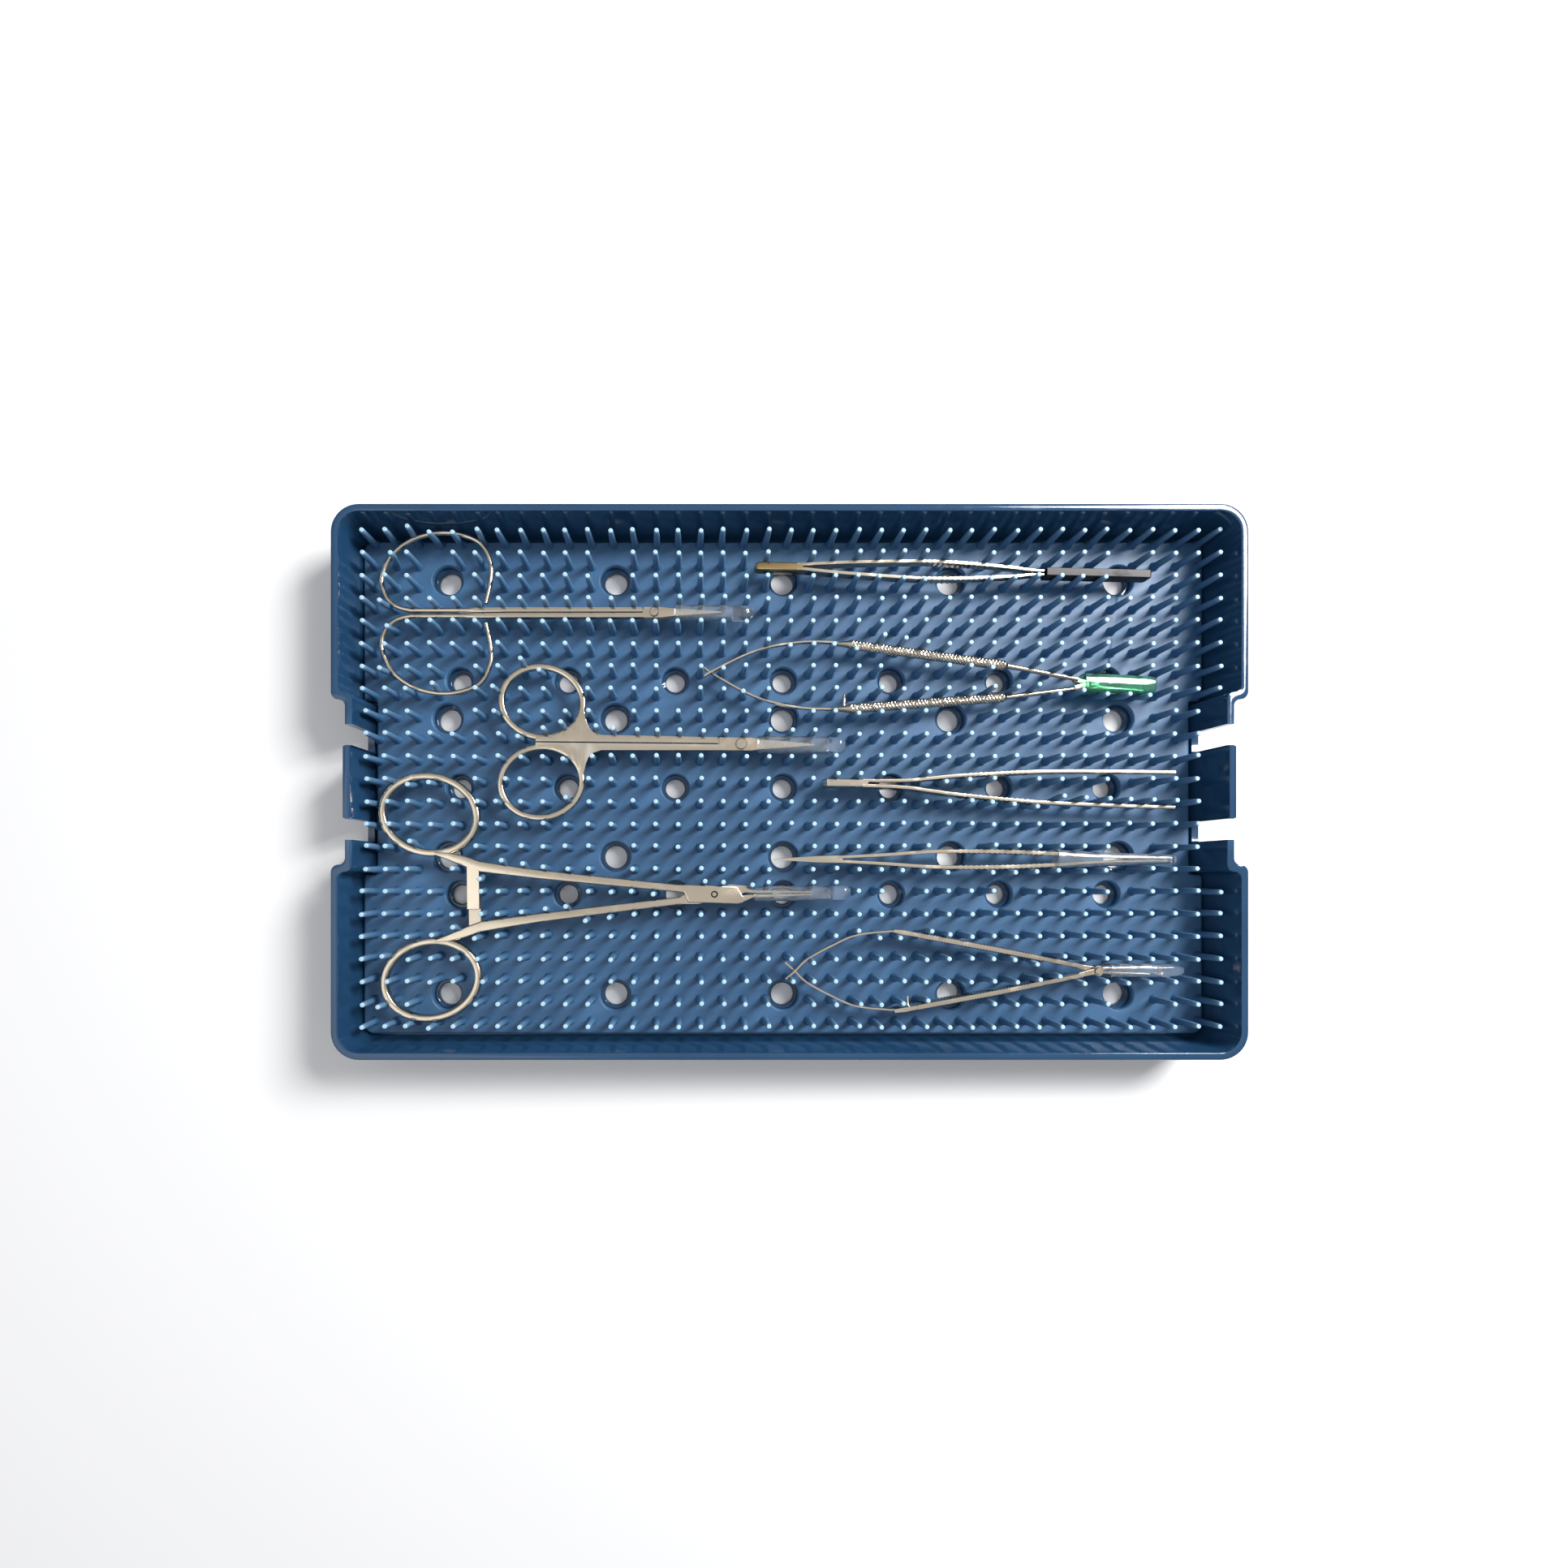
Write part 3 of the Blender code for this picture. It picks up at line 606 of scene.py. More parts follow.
class Workshop:
    """Turns bmeshes into finished pieces that ride on the frame."""

    def __init__(self, frame: dict) -> None:
        """Builds the finishes and keeps the frame.

        Args:
            frame: the loaded frame.
        """
        self.frame = frame
        groups = {"spread": spread_group(), "edge": edge_group()}
        self.materials = {finish.slot: finish.build(groups) for finish in FINISHES}
        self.body_of = {n: b for b, ns in frame["record"]["behaviour"]["bodies"].items() for n in ns}
        self.slot_of = {s["node"]: s["material_slot"] for s in frame["record"]["subparts"]}
        self.joints = {j["name"]: j for j in frame["joints"]}

    @staticmethod
    def loose(bm: bmesh.types.BMesh, place: Matrix) -> bpy.types.Object:
        """An object in metres from a bmesh in millimetres, placed by a matrix in metres.

        Args:
            bm: the shape, which is freed.
            place: its frame, in metres.

        Returns:
            The linked object, at the origin.
        """
        bmesh.ops.scale(bm, verts=bm.verts, vec=(MM, MM, MM))
        bmesh.ops.transform(bm, verts=bm.verts, matrix=place)
        mesh = bpy.data.meshes.new("work")
        bm.to_mesh(mesh)
        bm.free()
        made = bpy.data.objects.new("work", mesh)
        bpy.context.scene.collection.objects.link(made)
        return made

    @staticmethod
    def settle(obj: bpy.types.Object) -> None:
        """Applies the object's modifiers to its mesh.

        Args:
            obj: the object.
        """
        bpy.context.view_layer.update()
        graph = bpy.context.evaluated_depsgraph_get()
        result = bpy.data.meshes.new_from_object(obj.evaluated_get(graph))
        obj.modifiers.clear()
        obj.data = result

    def boolean(self, target: bpy.types.Object, tool: bpy.types.Object, operation: str) -> None:
        """Joins a tool to the target, or cuts it away, and removes the tool.

        Args:
            target: the object that stays.
            tool: the object that is used up.
            operation: UNION or DIFFERENCE.
        """
        modifier = target.modifiers.new("Boolean", "BOOLEAN")
        modifier.object = tool
        modifier.operation = operation
        self.settle(target)
        bpy.data.objects.remove(tool, do_unlink=True)

    def piece(
        self,
        node: str,
        first: bmesh.types.BMesh,
        place: Matrix = Matrix.Identity(4),
        joined: Iterable[bmesh.types.BMesh] = (),
        cut: Iterable[bmesh.types.BMesh] = (),
        bend: tuple[str, str, Vector, Vector] | None = None,
    ) -> bpy.types.Object:
        """One finished piece that stands for a CAD node.

        Args:
            node: the CAD node that it replaces.
            first: its first shape.
            place: its own frame, in metres.
            joined: shapes joined to it.
            cut: shapes cut away.
            bend: two bodies and where a bend would start and end, handed on to dress; no bend is made.

        Returns:
            The finished object.
        """
        made = self.loose(first, place)
        for bm in joined:
            self.boolean(made, self.loose(bm, place), "UNION")
        for bm in cut:
            self.boolean(made, self.loose(bm, place), "DIFFERENCE")
        return self.dress(made, node, bend)

    def dress(
        self, made: bpy.types.Object, node: str, bend: tuple[str, str, Vector, Vector] | None
    ) -> bpy.types.Object:
        """Names and finishes a mesh that stands for a CAD node, hides the node, and rides the mesh on
        the node's body unless a bend is given.

        Args:
            made: the object.
            node: the CAD node that it stands for.
            bend: two bodies and where a bend would start and end; when given, the mesh is neither bent
                nor ridden on a body, and its place is baked into it.

        Returns:
            The same object.
        """
        made.name = made.data.name = f"{node}_finished"
        made.data.materials.clear()
        made.data.materials.append(self.materials[self.slot_of[node]])
        made.data.shade_smooth()
        made.data.set_sharp_from_angle(angle=SHARP_ANGLE)
        for face in made.data.polygons:
            if len(face.vertices) > 4 and face.area > FLAT_AREA:
                face.use_smooth = False
        if bend:
            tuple(bend[2])
            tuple(bend[3])
            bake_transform(made)
        else:
            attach(made, self.body_of[node])
        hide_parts(node)
        LOG.info("%s: %d faces", made.name, len(made.data.polygons))
        return made

    def seat(self, joint: str, degrees: float) -> Matrix:
        """An instrument's own frame: on a hinge's place, turned in plan.

        Args:
            joint: the hinge.
            degrees: how the instrument is turned in the tray.

        Returns:
            The frame's matrix, in metres.
        """
        turn = Matrix.Rotation(math.radians(degrees), 4, "Z")
        return Matrix.Translation(self.joints[joint]["pos_m"]) @ turn

    def bearing(self, joint: str) -> float:
        """The direction in plan, in degrees, of a slide along an instrument."""
        axis = self.joints[joint]["axis"]
        return math.degrees(math.atan2(axis[1], axis[0]))


# ---------------------------------------------------------------- tray base and mat


def arc(
    centre: tuple[float, float], radius: float, start: float, end: float, steps: int
) -> list[tuple[float, float]]:
    """Points round a centre from one angle to another, in degrees.

    Args:
        centre: the middle, in plan.
        radius: the radius.
        start: the first angle.
        end: the last angle.
        steps: steps between them.

    Returns:
        The points, both ends included.
    """
    return [
        (centre[0] + radius * math.cos(math.radians(start + (end - start) * k / steps)),
         centre[1] + radius * math.sin(math.radians(start + (end - start) * k / steps)))
        for k in range(steps + 1)
    ]


@dataclass
class Outline:
    """A tray-shaped outline: a rounded rectangle with a recess in each short side."""

    half_x: float
    half_y: float
    corner: float
    recess_half: float
    recess_depth: float
    fillet: float
    tab_half: float = 0.0
    tab_proud: float = 0.0
    least_corner: float = 0.6
    notch_growth: float = 2.1

    def points(self, inset: float) -> list[tuple[float, float]]:
        """The outline moved inwards by inset, as one loop of points.

        Args:
            inset: how far inwards.

        Returns:
            The (x, y) points, with no point twice.
        """
        half_x, half_y = self.half_x - inset, self.half_y - inset
        corner = max(self.corner - inset, self.least_corner)
        notch = self.recess_half + max(min(inset, self.notch_growth), 0)
        inner_x = half_x - self.recess_depth
        tab_x = inner_x + self.tab_proud
        quarter = [(tab_x, 0.0)]
        if self.tab_half:
            quarter += [(tab_x, self.tab_half - 0.3), (tab_x - 0.15, self.tab_half)]
            quarter.append((inner_x, self.tab_half + 0.05))
        reach = min(self.fillet, self.recess_depth / 2)
        quarter += arc((inner_x + reach, notch - reach), reach, 180, 90, 6)
        quarter += arc((half_x - reach, notch + reach), reach, -90, 0, 6)
        quarter += arc((half_x - corner, half_y - corner), corner, 0, 90, 12)
        loop = [*quarter, *[(-x, y) for x, y in reversed(quarter)], *[(-x, -y) for x, y in quarter]]
        loop += [(x, -y) for x, y in reversed(quarter)]
        kept: list[tuple[float, float]] = []
        for p in loop:
            if not kept or math.dist(p, kept[-1]) > SAME_PLACE:
                kept.append(p)
        return kept[:-1] if math.dist(kept[0], kept[-1]) < SAME_PLACE else kept

    def stack(self, profile: Sequence[tuple[float, float]]) -> bmesh.types.BMesh:
        """The closed shape through the outline at each (inset, z) of a profile.

        Args:
            profile: (inset, z) of each ring.

        Returns:
            A closed bmesh in millimetres.
        """
        bm = bmesh.new()
        rings = []
        for inset, z in profile:
            verts = [bm.verts.new((x, y, z)) for x, y in self.points(inset)]
            rings.append([bm.edges.new((a, b)) for a, b in zip(verts, verts[1:] + verts[:1])])
        for low, high in zip(rings, rings[1:]):
            bmesh.ops.bridge_loops(bm, edges=low + high)
        bmesh.ops.edgeloop_fill(bm, edges=rings[0])
        bmesh.ops.edgeloop_fill(bm, edges=rings[-1])
        bmesh.ops.recalc_face_normals(bm, faces=bm.faces)
        return bm


@dataclass
class DrainHoles:
    """The two grids of drain holes, as (columns, rows, pitch x, pitch y, tray radius, mat radius)."""

    grids: tuple[Point, ...] = ((5, 4, 49.3, 40.6, 3.3, 4.4), (7, 3, 31.7, 31.4, 2.8, 3.95))

    def centres(self) -> Iterable[tuple[float, float, float, float]]:
        """(x, y, tray radius, mat radius) of every hole.

        Yields:
            The holes, grid by grid.
        """
        for columns, rows, pitch_x, pitch_y, tray_radius, mat_radius in self.grids:
            for i in range(columns):
                for j in range(rows):
                    x = (i - (columns - 1) / 2) * pitch_x
                    y = (j - (rows - 1) / 2) * pitch_y
                    yield x, y, tray_radius, mat_radius

    def drill(
        self, pick: Callable[[Point], float], low: float, high: float, flare: float
    ) -> bmesh.types.BMesh:
        """All the holes as one cutter, flared where it leaves the top face.

        Args:
            pick: takes the radius from a hole's row.
            low: the lower face that is drilled.
            high: the upper face.
            flare: how far the rim widens.

        Returns:
            The cutter, in millimetres.
        """
        bm = bmesh.new()
        for hole in self.centres():
            radius = pick(hole)
            cutter = turned([
                (0, low - 1), (radius, low - 1), (radius, high - flare),
                (radius + flare * 0.35, high - flare * 0.35), (radius + flare, high + 0.01),
                (radius + flare, high + 1), (0, high + 1),
            ], 32)
            moved(cutter, hole[0], hole[1])
            scratch = bpy.data.meshes.new("drill")
            cutter.to_mesh(scratch)
            cutter.free()
            bm.from_mesh(scratch)
            bpy.data.meshes.remove(scratch)
        return bm


@dataclass
class TrayBase:
    """The moulded base: a drafted shell with latch slots in its recessed ends."""

    height: float
    floor: float = 2.2
    rim: float = 2.1
    draft: float = 1.4
    slot_width: float = 5.8
    slot_centre: float = 13.1
    slot_floor: float = 4.6
    slot_reach: float = 9.0
    slot_ease: float = 0.5
    hole_flare: float = 0.35
    outline: Outline = field(
        default_factory=lambda: Outline(127.0, 77.0, 7.8, 22.9, 3.9, 2.5, 10.0, 0.6)
    )

    def profile(self) -> list[tuple[float, float]]:
        """(inset, z) from the middle of the underside, up the outside, over the rim and down inside.

        Returns:
            The profile, in millimetres.
        """
        foot = self.rim + 1.2
        return [
            (self.draft + 1.6, 0), (self.draft + 0.5, 0.15), (self.draft, 0.8),
            (0.12, self.height - 1.0), (0.0, self.height - 0.45), (0.14, self.height - 0.12),
            (0.5, self.height), (self.rim - 0.5, self.height),
            (self.rim - 0.14, self.height - 0.12), (self.rim, self.height - 0.45),
            (foot - 0.15, self.floor + 1.1), (foot + 0.12, self.floor + 0.4),
            (foot + 0.7, self.floor),
        ]

    def build(self, shop: Workshop, holes: DrainHoles) -> None:
        """Makes the base.

        Args:
            shop: the workshop.
            holes: the drain holes.
        """
        shell = self.outline.stack(self.profile())
        slots = []
        for side in (-1, 1):
            for row in (-1, 1):
                block = bar([
                    (x, -self.slot_width / 2, self.slot_width / 2, (self.slot_floor, self.height + 1))
                    for x in (-self.slot_reach, self.slot_reach)
                ], self.slot_ease)
                slots.append(moved(block, side * self.outline.half_x, row * self.slot_centre))
        cutter = holes.drill(lambda hole: hole[2], 0, self.floor, self.hole_flare)
        shop.piece("tray_base", shell, cut=[cutter, *slots])


@dataclass
class FingerMat:
    """The silicone mat: a drilled plate and its field of soft fingers."""

    bottom: float
    top: float
    tip: float = 15.5
    pitch: float = 6.35
    columns: int = 39
    rows: int = 23
    first: tuple[float, float] = (-119.7, -68.45)
    girth: float = 0.98
    pressed: float = 0.22
    headings: int = 16
    lean_steps: tuple[float, ...] = (0.6, 1.1, 1.6, 2.1, 2.6, 3.1, 3.6, 4.1, 4.6, 5.2)
    outline: Outline = field(default_factory=lambda: Outline(123.3, 72.3, 3.0, 25.5, 3.9, 1.0))
    stroke_shares: tuple[float, ...] = (0.12, 0.25, 0.4, 0.55, 0.7, 0.85, 1.0)
    hole_flare: float = 0.45
    hole_margin: float = 0.75
    edge_margin: float = 0.9
    recess_margin: float = 1.0
    idle_lean: float = 0.22
    bend_start: float = 0.4
    bend_length: float = 3.4
    seed: int = 7

    def build(self, shop: Workshop, holes: DrainHoles) -> None:
        """Makes the plate and the fingers.

        Args:
            shop: the workshop.
            holes: the drain holes.
        """
        plate = self.outline.stack([
            (0.6, self.bottom), (0.1, self.bottom + 0.25), (0.0, self.bottom + 0.7),
            (0.0, self.top - 0.6), (0.18, self.top - 0.18), (0.6, self.top),
        ])
        cutter = holes.drill(lambda hole: hole[3], self.bottom, self.top, self.hole_flare)
        shop.piece("finger_mat", plate, cut=[cutter])
        self.fingers(shop, holes)

    def template(self) -> bpy.types.Mesh:
        """One upright finger at the origin, with a flared foot and a dished tip.

        Returns:
            The finger's mesh, in millimetres.
        """
        top = self.tip
        bm = turned([
            (0, self.top - 0.3), (1.6, self.top - 0.3), (1.4, self.top + 0.08), (1.14, self.top + 0.5),
            (1.0, self.top + 1.5), (0.84, top - 3.5), (0.72, top - 0.6), (0.64, top - 0.16), (0.44, top),
            (0.22, top - 0.1), (0, top - 0.14),
        ], 10)
        mesh = bpy.data.meshes.new("finger")
        bm.to_mesh(mesh)
        bm.free()
        return mesh

    def standing(self, holes: DrainHoles) -> Iterable[tuple[float, float]]:
        """(x, y) of every finger: the full grid without those on a hole or off the plate.

        Args:
            holes: the drain holes.

        Yields:
            The places, column by column.
        """
        centres = list(holes.centres())
        for i in range(self.columns):
            for j in range(self.rows):
                x, y = self.first[0] + i * self.pitch, self.first[1] + j * self.pitch
                if any(math.dist((x, y), hole[:2]) < hole[3] + self.hole_margin for hole in centres):
                    continue
                near_recess = abs(y) < self.outline.recess_half + self.recess_margin
                recess = self.outline.recess_depth if near_recess else 0
                limit = self.outline.half_x - recess - self.edge_margin
                if abs(x) > limit and x > 0:
                    continue
                yield (max(x, -limit - 0.05), y)

    def fingers(self, shop: Workshop, holes: DrainHoles) -> None:
        """Leans each finger off the instruments, and groups it with the joint that sweeps over it.

        Args:
            shop: the workshop.
            holes: the drain holes.
        """
        resting = Obstacles(shop, [n for n in shop.body_of if n not in ("tray_base", "finger_mat")])
        sweeps = [Sweep(shop, joint) for joint in shop.joints.values() if Sweep.in_plane(joint)]
        rng = random.Random(self.seed)
        groups: dict[str, list[Point]] = {}
        for x, y in self.standing(holes):
            lean, swept = self.posture(resting, sweeps, (x, y), rng)
            share = self.pressed if lean is None else 1.0
            groups.setdefault(swept, []).append((x, y, *(lean or (0.0, 0.0)), share))
        finger = self.template()
        for joint, members in groups.items():
            made = self.field(shop, finger, members)
            made.name = made.data.name = f"fingers_by_{joint}" if joint else "fingers"
            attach(made, "mat")
            if joint:
                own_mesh(made)
            LOG.info("%s: %d fingers", made.name, len(members))
        bpy.data.meshes.remove(finger)

    def leans(self, rng: random.Random) -> Iterable[tuple[float, float]]:
        """Leans to try, from idle unevenness to a far lean in every direction.

        Args:
            rng: the seeded source of small unevenness.

        Yields:
            The leans in X and Y, nearest first.
        """
        idle = self.idle_lean
        yield rng.uniform(-idle, idle), rng.uniform(-idle, idle)
        for reach in self.lean_steps:
            for k in range(self.headings):
                angle = math.tau * k / self.headings
                yield reach * math.cos(angle), reach * math.sin(angle)

    def posture(
        self,
        resting: "Obstacles",
        sweeps: Sequence["Sweep"],
        foot: tuple[float, float],
        rng: random.Random,
    ) -> tuple[tuple[float, float] | None, str]:
        """How far a finger's upper part leans, and the one joint that sweeps over it.

        Args:
            resting: the instruments at rest.
            sweeps: the joints that move level through the fingers.
            foot: the finger's place.
            rng: the seeded source of small unevenness.

        Returns:
            The lean in X and Y, or None if an instrument holds the finger down; and the joint's
            name, or an empty name.
        """
        second: tuple[tuple[float, float] | None, str] = (None, "")
        for k, lean in enumerate(self.leans(rng)):
            at = (foot[0] + lean[0], foot[1] + lean[1])
            if k and not self.inside(*at) or not resting.clear(*at, self.girth):
                continue
            swept = sorted({s.name for s in sweeps if s.touches(at, self)})
            if len(swept) < 2:
                return lean, swept[0] if swept else ""
            if second[0] is None:
                second = (lean, swept[0])
        return second

    def inside(self, x: float, y: float) -> bool:
        """Whether a finger's top at this place stays off the tray's walls.

        Args:
            x: the top's place in X.
            y: the top's place in Y.

        Returns:
            True if it stays off them.
        """
        recess = self.outline.recess_depth if abs(y) < self.outline.recess_half else 0
        limit = self.outline.half_x - 0.6 - recess
        return abs(x) < limit and abs(y) < self.outline.half_y + 0.2

    def field(
        self, shop: Workshop, finger: bpy.types.Mesh, members: Sequence[Point]
    ) -> bpy.types.Object:
        """One object of many fingers.

        Args:
            shop: the workshop.
            finger: the upright finger's mesh.
            members: (x, y, lean x, lean y, height share) of each finger.

        Returns:
            The object, with its finger_height attribute.
        """
        bm = bmesh.new()
        layer = bm.verts.layers.float.new("finger_height")
        for x, y, lean_x, lean_y, share in members:
            start = len(bm.verts)
            bm.from_mesh(finger)
            bm.verts.ensure_lookup_table()
            for v in bm.verts[start:]:
                height = (v.co.z - self.top) / (self.tip - self.top)
                t = (v.co.z - self.top - self.bend_start) / self.bend_length
                t = min(max(t, 0.0), 1.0)
                bend = t * t * (3 - 2 * t)
                v[layer] = min(max(height, 0.0), 1.0)
                v.co.z = self.top + (v.co.z - self.top) * (share if height > 0 else 1.0)
                v.co.x += x + lean_x * bend
                v.co.y += y + lean_y * bend
        made = shop.loose(bm, Matrix.Identity(4))
        made.data.materials.append(shop.materials["silicone"])
        made.data.shade_smooth()
        return made


class Obstacles:
    """The instruments' solids, asked how near a finger comes to them."""

    heights: tuple[float, ...] = (7.4, 8.4, 9.4, 10.4, 11.4, 12.4)
    search_reach: float = 8.0
    deepest: float = 4.0

    def __init__(self, shop: Workshop, nodes: Iterable[str]) -> None:
        """Builds one search tree over the nodes.

        Args:
            shop: the workshop.
            nodes: the CAD nodes.
        """
        points: list[Vector] = []
        faces: list[list[int]] = []
        for n in nodes:
            mesh = shop.frame["nodes"][n].data
            start = len(points)
            points += [v.co / MM for v in mesh.vertices]
            faces += [[start + i for i in p.vertices] for p in mesh.polygons]
        self.tree = BVHTree.FromPolygons(points, faces)

    def clear(self, x: float, y: float, girth: float) -> bool:
        """Whether an upright finger of this radius misses every solid.

        Args:
            x: the finger's place in X.
            y: the finger's place in Y.
            girth: the finger's radius.

        Returns:
            True if it is clear at every height.
        """
        for z in self.heights:
            at = Vector((x, y, z))
            found, normal, _, distance = self.tree.find_nearest(at, self.search_reach)
            if found is None:
                continue
            within = (at - found).dot(normal) < 0 and distance < self.deepest
            if distance < girth or within:
                return False
        return True


class Sweep:
    """A joint that carries its body sideways through the fingers."""

    room: float = 0.3

    def __init__(self, shop: Workshop, joint: dict) -> None:
        """Keeps the joint and its moving solids.

        Args:
            shop: the workshop.
            joint: the joint, as the frame gives it.
        """
        couplings = shop.frame["record"]["behaviour"].get("couplings", [])
        followed = {c["joint"]: c["follows"] for c in couplings}
        self.name = followed.get(joint["name"], joint["name"])
        self.joint = joint
        self.solids = Obstacles(shop, [n for n, b in shop.body_of.items() if b == joint["child"]])
        node = f"{joint['child']}_spring"
        self.spring = Obstacles(shop, [node]) if node in shop.body_of else None
        self.spring_span = [c.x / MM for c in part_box(node)] if self.spring else [0.0, 0.0]

    @staticmethod
    def in_plane(joint: dict) -> bool:
        """Whether a joint moves its body level, and not up out of the tray."""
        return joint["type"] == "hinge" or abs(joint["axis"][2]) < 0.5

    def touches(self, at: tuple[float, float], mat: FingerMat) -> bool:
        """Whether the body reaches a finger anywhere along the joint's travel.

        Args:
            at: the finger's place.
            mat: the mat.

        Returns:
            True if any tested share of the travel reaches it.
        """
        joint = self.joint
        for share in mat.stroke_shares:
            point = Vector((*at, 0))
            if joint["type"] == "hinge":
                low, high = joint["range_deg"]
                angle = math.radians(high if abs(high) > abs(low) else low) * share * joint["axis"][2]
                if self.spring:
                    start, end = self.spring_span
                    bent = min(max((point.x - start) / (end - start), 0.0), 1.0)
                    place = self.turned_back(point, angle * bent)
                    if bent and not self.spring.clear(place.x, place.y, mat.girth + self.room):
                        return True
                point = self.turned_back(point, angle)
            else:
                point -= Vector(joint["axis"]) * joint["range_m"][1] / MM * share
            if not self.solids.clear(point.x, point.y, mat.girth + self.room):
                return True
        return False

    def turned_back(self, point: Vector, angle: float) -> Vector:
        """A place carried back round the hinge."""
        centre = Vector((self.joint["pos_m"][0], self.joint["pos_m"][1], 0)) / MM
        return centre + Matrix.Rotation(-angle, 3, "Z") @ (point - centre)


# ---------------------------------------------------------------- shared instrument work


def finger_ring(
    centre: tuple[float, float],
    radii: tuple[float, float],
    tilt: float,
    half_width: float,
    half_height: float,
) -> bmesh.types.BMesh:
    """A finger ring: a rounded band round a tilted ellipse.

    Args:
        centre: the middle, in plan.
        radii: the two half axes of the middle line.
        tilt: degrees in plan.
        half_width: the band's half width.
        half_height: the band's half height.

    Returns:
        A closed bmesh in millimetres.
    """
    turn = math.radians(tilt)
    stations = []
    for k in range(RING_STEPS):
        angle = math.tau * k / RING_STEPS
        u, v = radii[0] * math.cos(angle), radii[1] * math.sin(angle)
        stations.append((
            centre[0] + u * math.cos(turn) - v * math.sin(turn),
            centre[1] + u * math.sin(turn) + v * math.cos(turn), 0.0, half_width, half_height,
        ))
    return loft(stations, Section.BAND, closed=True)


def tip_guard(
    shop: Workshop, node: str, place: Matrix, stations: Sequence[Point], wall: float,
    section: Section = Section.SLEEVE,
) -> None:
    """A soft sleeve, open at its first end.

    Args:
        shop: the workshop.
        node: the CAD node that it stands for.
        place: the instrument's frame.
        stations: (x, half width, half height) along the outside.
        wall: the sleeve's thickness.
        section: its cross-section.
    """
    outer = stretch_round(stations, GUARD_SPANS)
    bore = [(x, w - wall, h - wall) for x, w, h in outer if x <= stations[-3][0]]
    first = outer[0]
    lip = (first[0] - 0.1, first[1] - wall / 2, first[2] - wall / 2)
    line = [*reversed(bore), lip, *outer]
    last = outer[-1]
    line.append((last[0] + 0.12, last[1] * 0.55, last[2] * 0.55))
    shop.piece(node, loft([(x, 0, 0, w, h) for x, w, h in line], section, upright=True), place)


def slotted_screw(
    shop: Workshop, node: str, place: Matrix, shaft: float, head: float, thick: float
) -> None:
    """A pivot screw: shaft, domed head and a driver slot.

    Args:
        shop: the workshop.
        node: the CAD node that it stands for.
        place: the instrument's frame, in metres.
        shaft: the shaft's radius.
        head: the head's radius.
        thick: the head's thickness.
    """
    seat = HALF_STOCK + GAP
    top = seat + thick
    body = turned([
        (0, -HALF_STOCK), (shaft - 0.1, -HALF_STOCK), (shaft, -HALF_STOCK + 0.1), (shaft, seat),
        (head - 0.1, seat), (head, seat + 0.1), (head, top - 0.2), (head - 0.18, top - 0.03), (0, top),
    ], 32)
    slot = bar([(x, -0.16, 0.16, (top - 0.22, top + 1)) for x in (-head - 1, head + 1)], 0)
    turn = Matrix.Rotation(SCREW_TURN, 3, "Z")
    bmesh.ops.rotate(slot, verts=slot.verts, cent=(0, 0, 0), matrix=turn)
    shop.piece(node, body, place, cut=[slot])


HALVES = (("upper_half", 1, BOTTOM_LAYER), ("lower_half", -1, TOP_LAYER))


@dataclass
class LoopScissors:
    """Scissors with a sprung wire bow for each handle."""

    wire: float = 0.68
    bow: tuple[tuple[float, float], ...] = (
        (-48.4, 2.9), (-47.0, 9.5), (-47.1, 14.6), (-50.0, 20.1), (-56.3, 22.7), (-63.0, 22.9),
        (-69.8, 20.9), (-75.4, 16.5), (-78.2, 10.2), (-77.4, 5.4), (-74.6, 2.3), (-70.5, 0.95),
        (-66.0, 0.85),
    )
    shank_ease: float = 0.55
    blade_ease: float = 0.1
    bore: float = 0.95
    guard_wall: float = 0.4

    def build(self, shop: Workshop) -> None:
        """Makes both halves, the screw and the guard.

        Args:
            shop: the workshop.
        """
        place = shop.seat("loop_scissors_pivot", 0.0)
        for word, side, layer in HALVES:
            path = [(x, y * side, 0.0, self.wire, self.wire) for x, y in self.bow]
            inner_end = (-40.0, 0.85 * side, 0.0, self.wire, self.wire)
            path = stretch_round([*path, inner_end], PATH_SPANS)
            start = path[0]
            path.insert(0, (start[0], start[1] - side * 0.22, 0.0, self.wire * 0.6, self.wire * 0.6))
            near, far = sorted((0.15 * side, 1.45 * side))
            shank = bar([(x, near, far, z) for x, z in (
                (-56.0, (-0.25, 0.25)), (-50.0, (-0.7, 0.7)), (-42.0, BOTH_LAYERS), (-3.4, BOTH_LAYERS),
                (-3.3, layer), (-2.4, layer),
            )], self.shank_ease, keen=True)
            blade = bar([
                (-2.9, -1.55, 1.55, layer), (2.0, -1.55, 1.55, layer), (6.0, -1.1, 1.1, layer),
                (12.0, -0.7, 0.7, layer), (19.3, -0.2, 0.2, layer),
            ], self.blade_ease)
            node = f"loop_scissors_{word}"
            shop.piece(node, loft(path, Section.ROUND), place, joined=[shank, blade],
                       cut=[button(self.bore, *THROUGH, 0)])
        slotted_screw(shop, "loop_scissors_screw", place, 0.62, 1.3, 0.5)
        tip_guard(shop, "loop_scissors_tip_guard", place, (
            (6.0, 2.15, 2.15), (22.5, 2.1, 2.1), (26.6, 1.9, 1.9), (28.4, 0.9, 0.9),
        ), self.guard_wall)


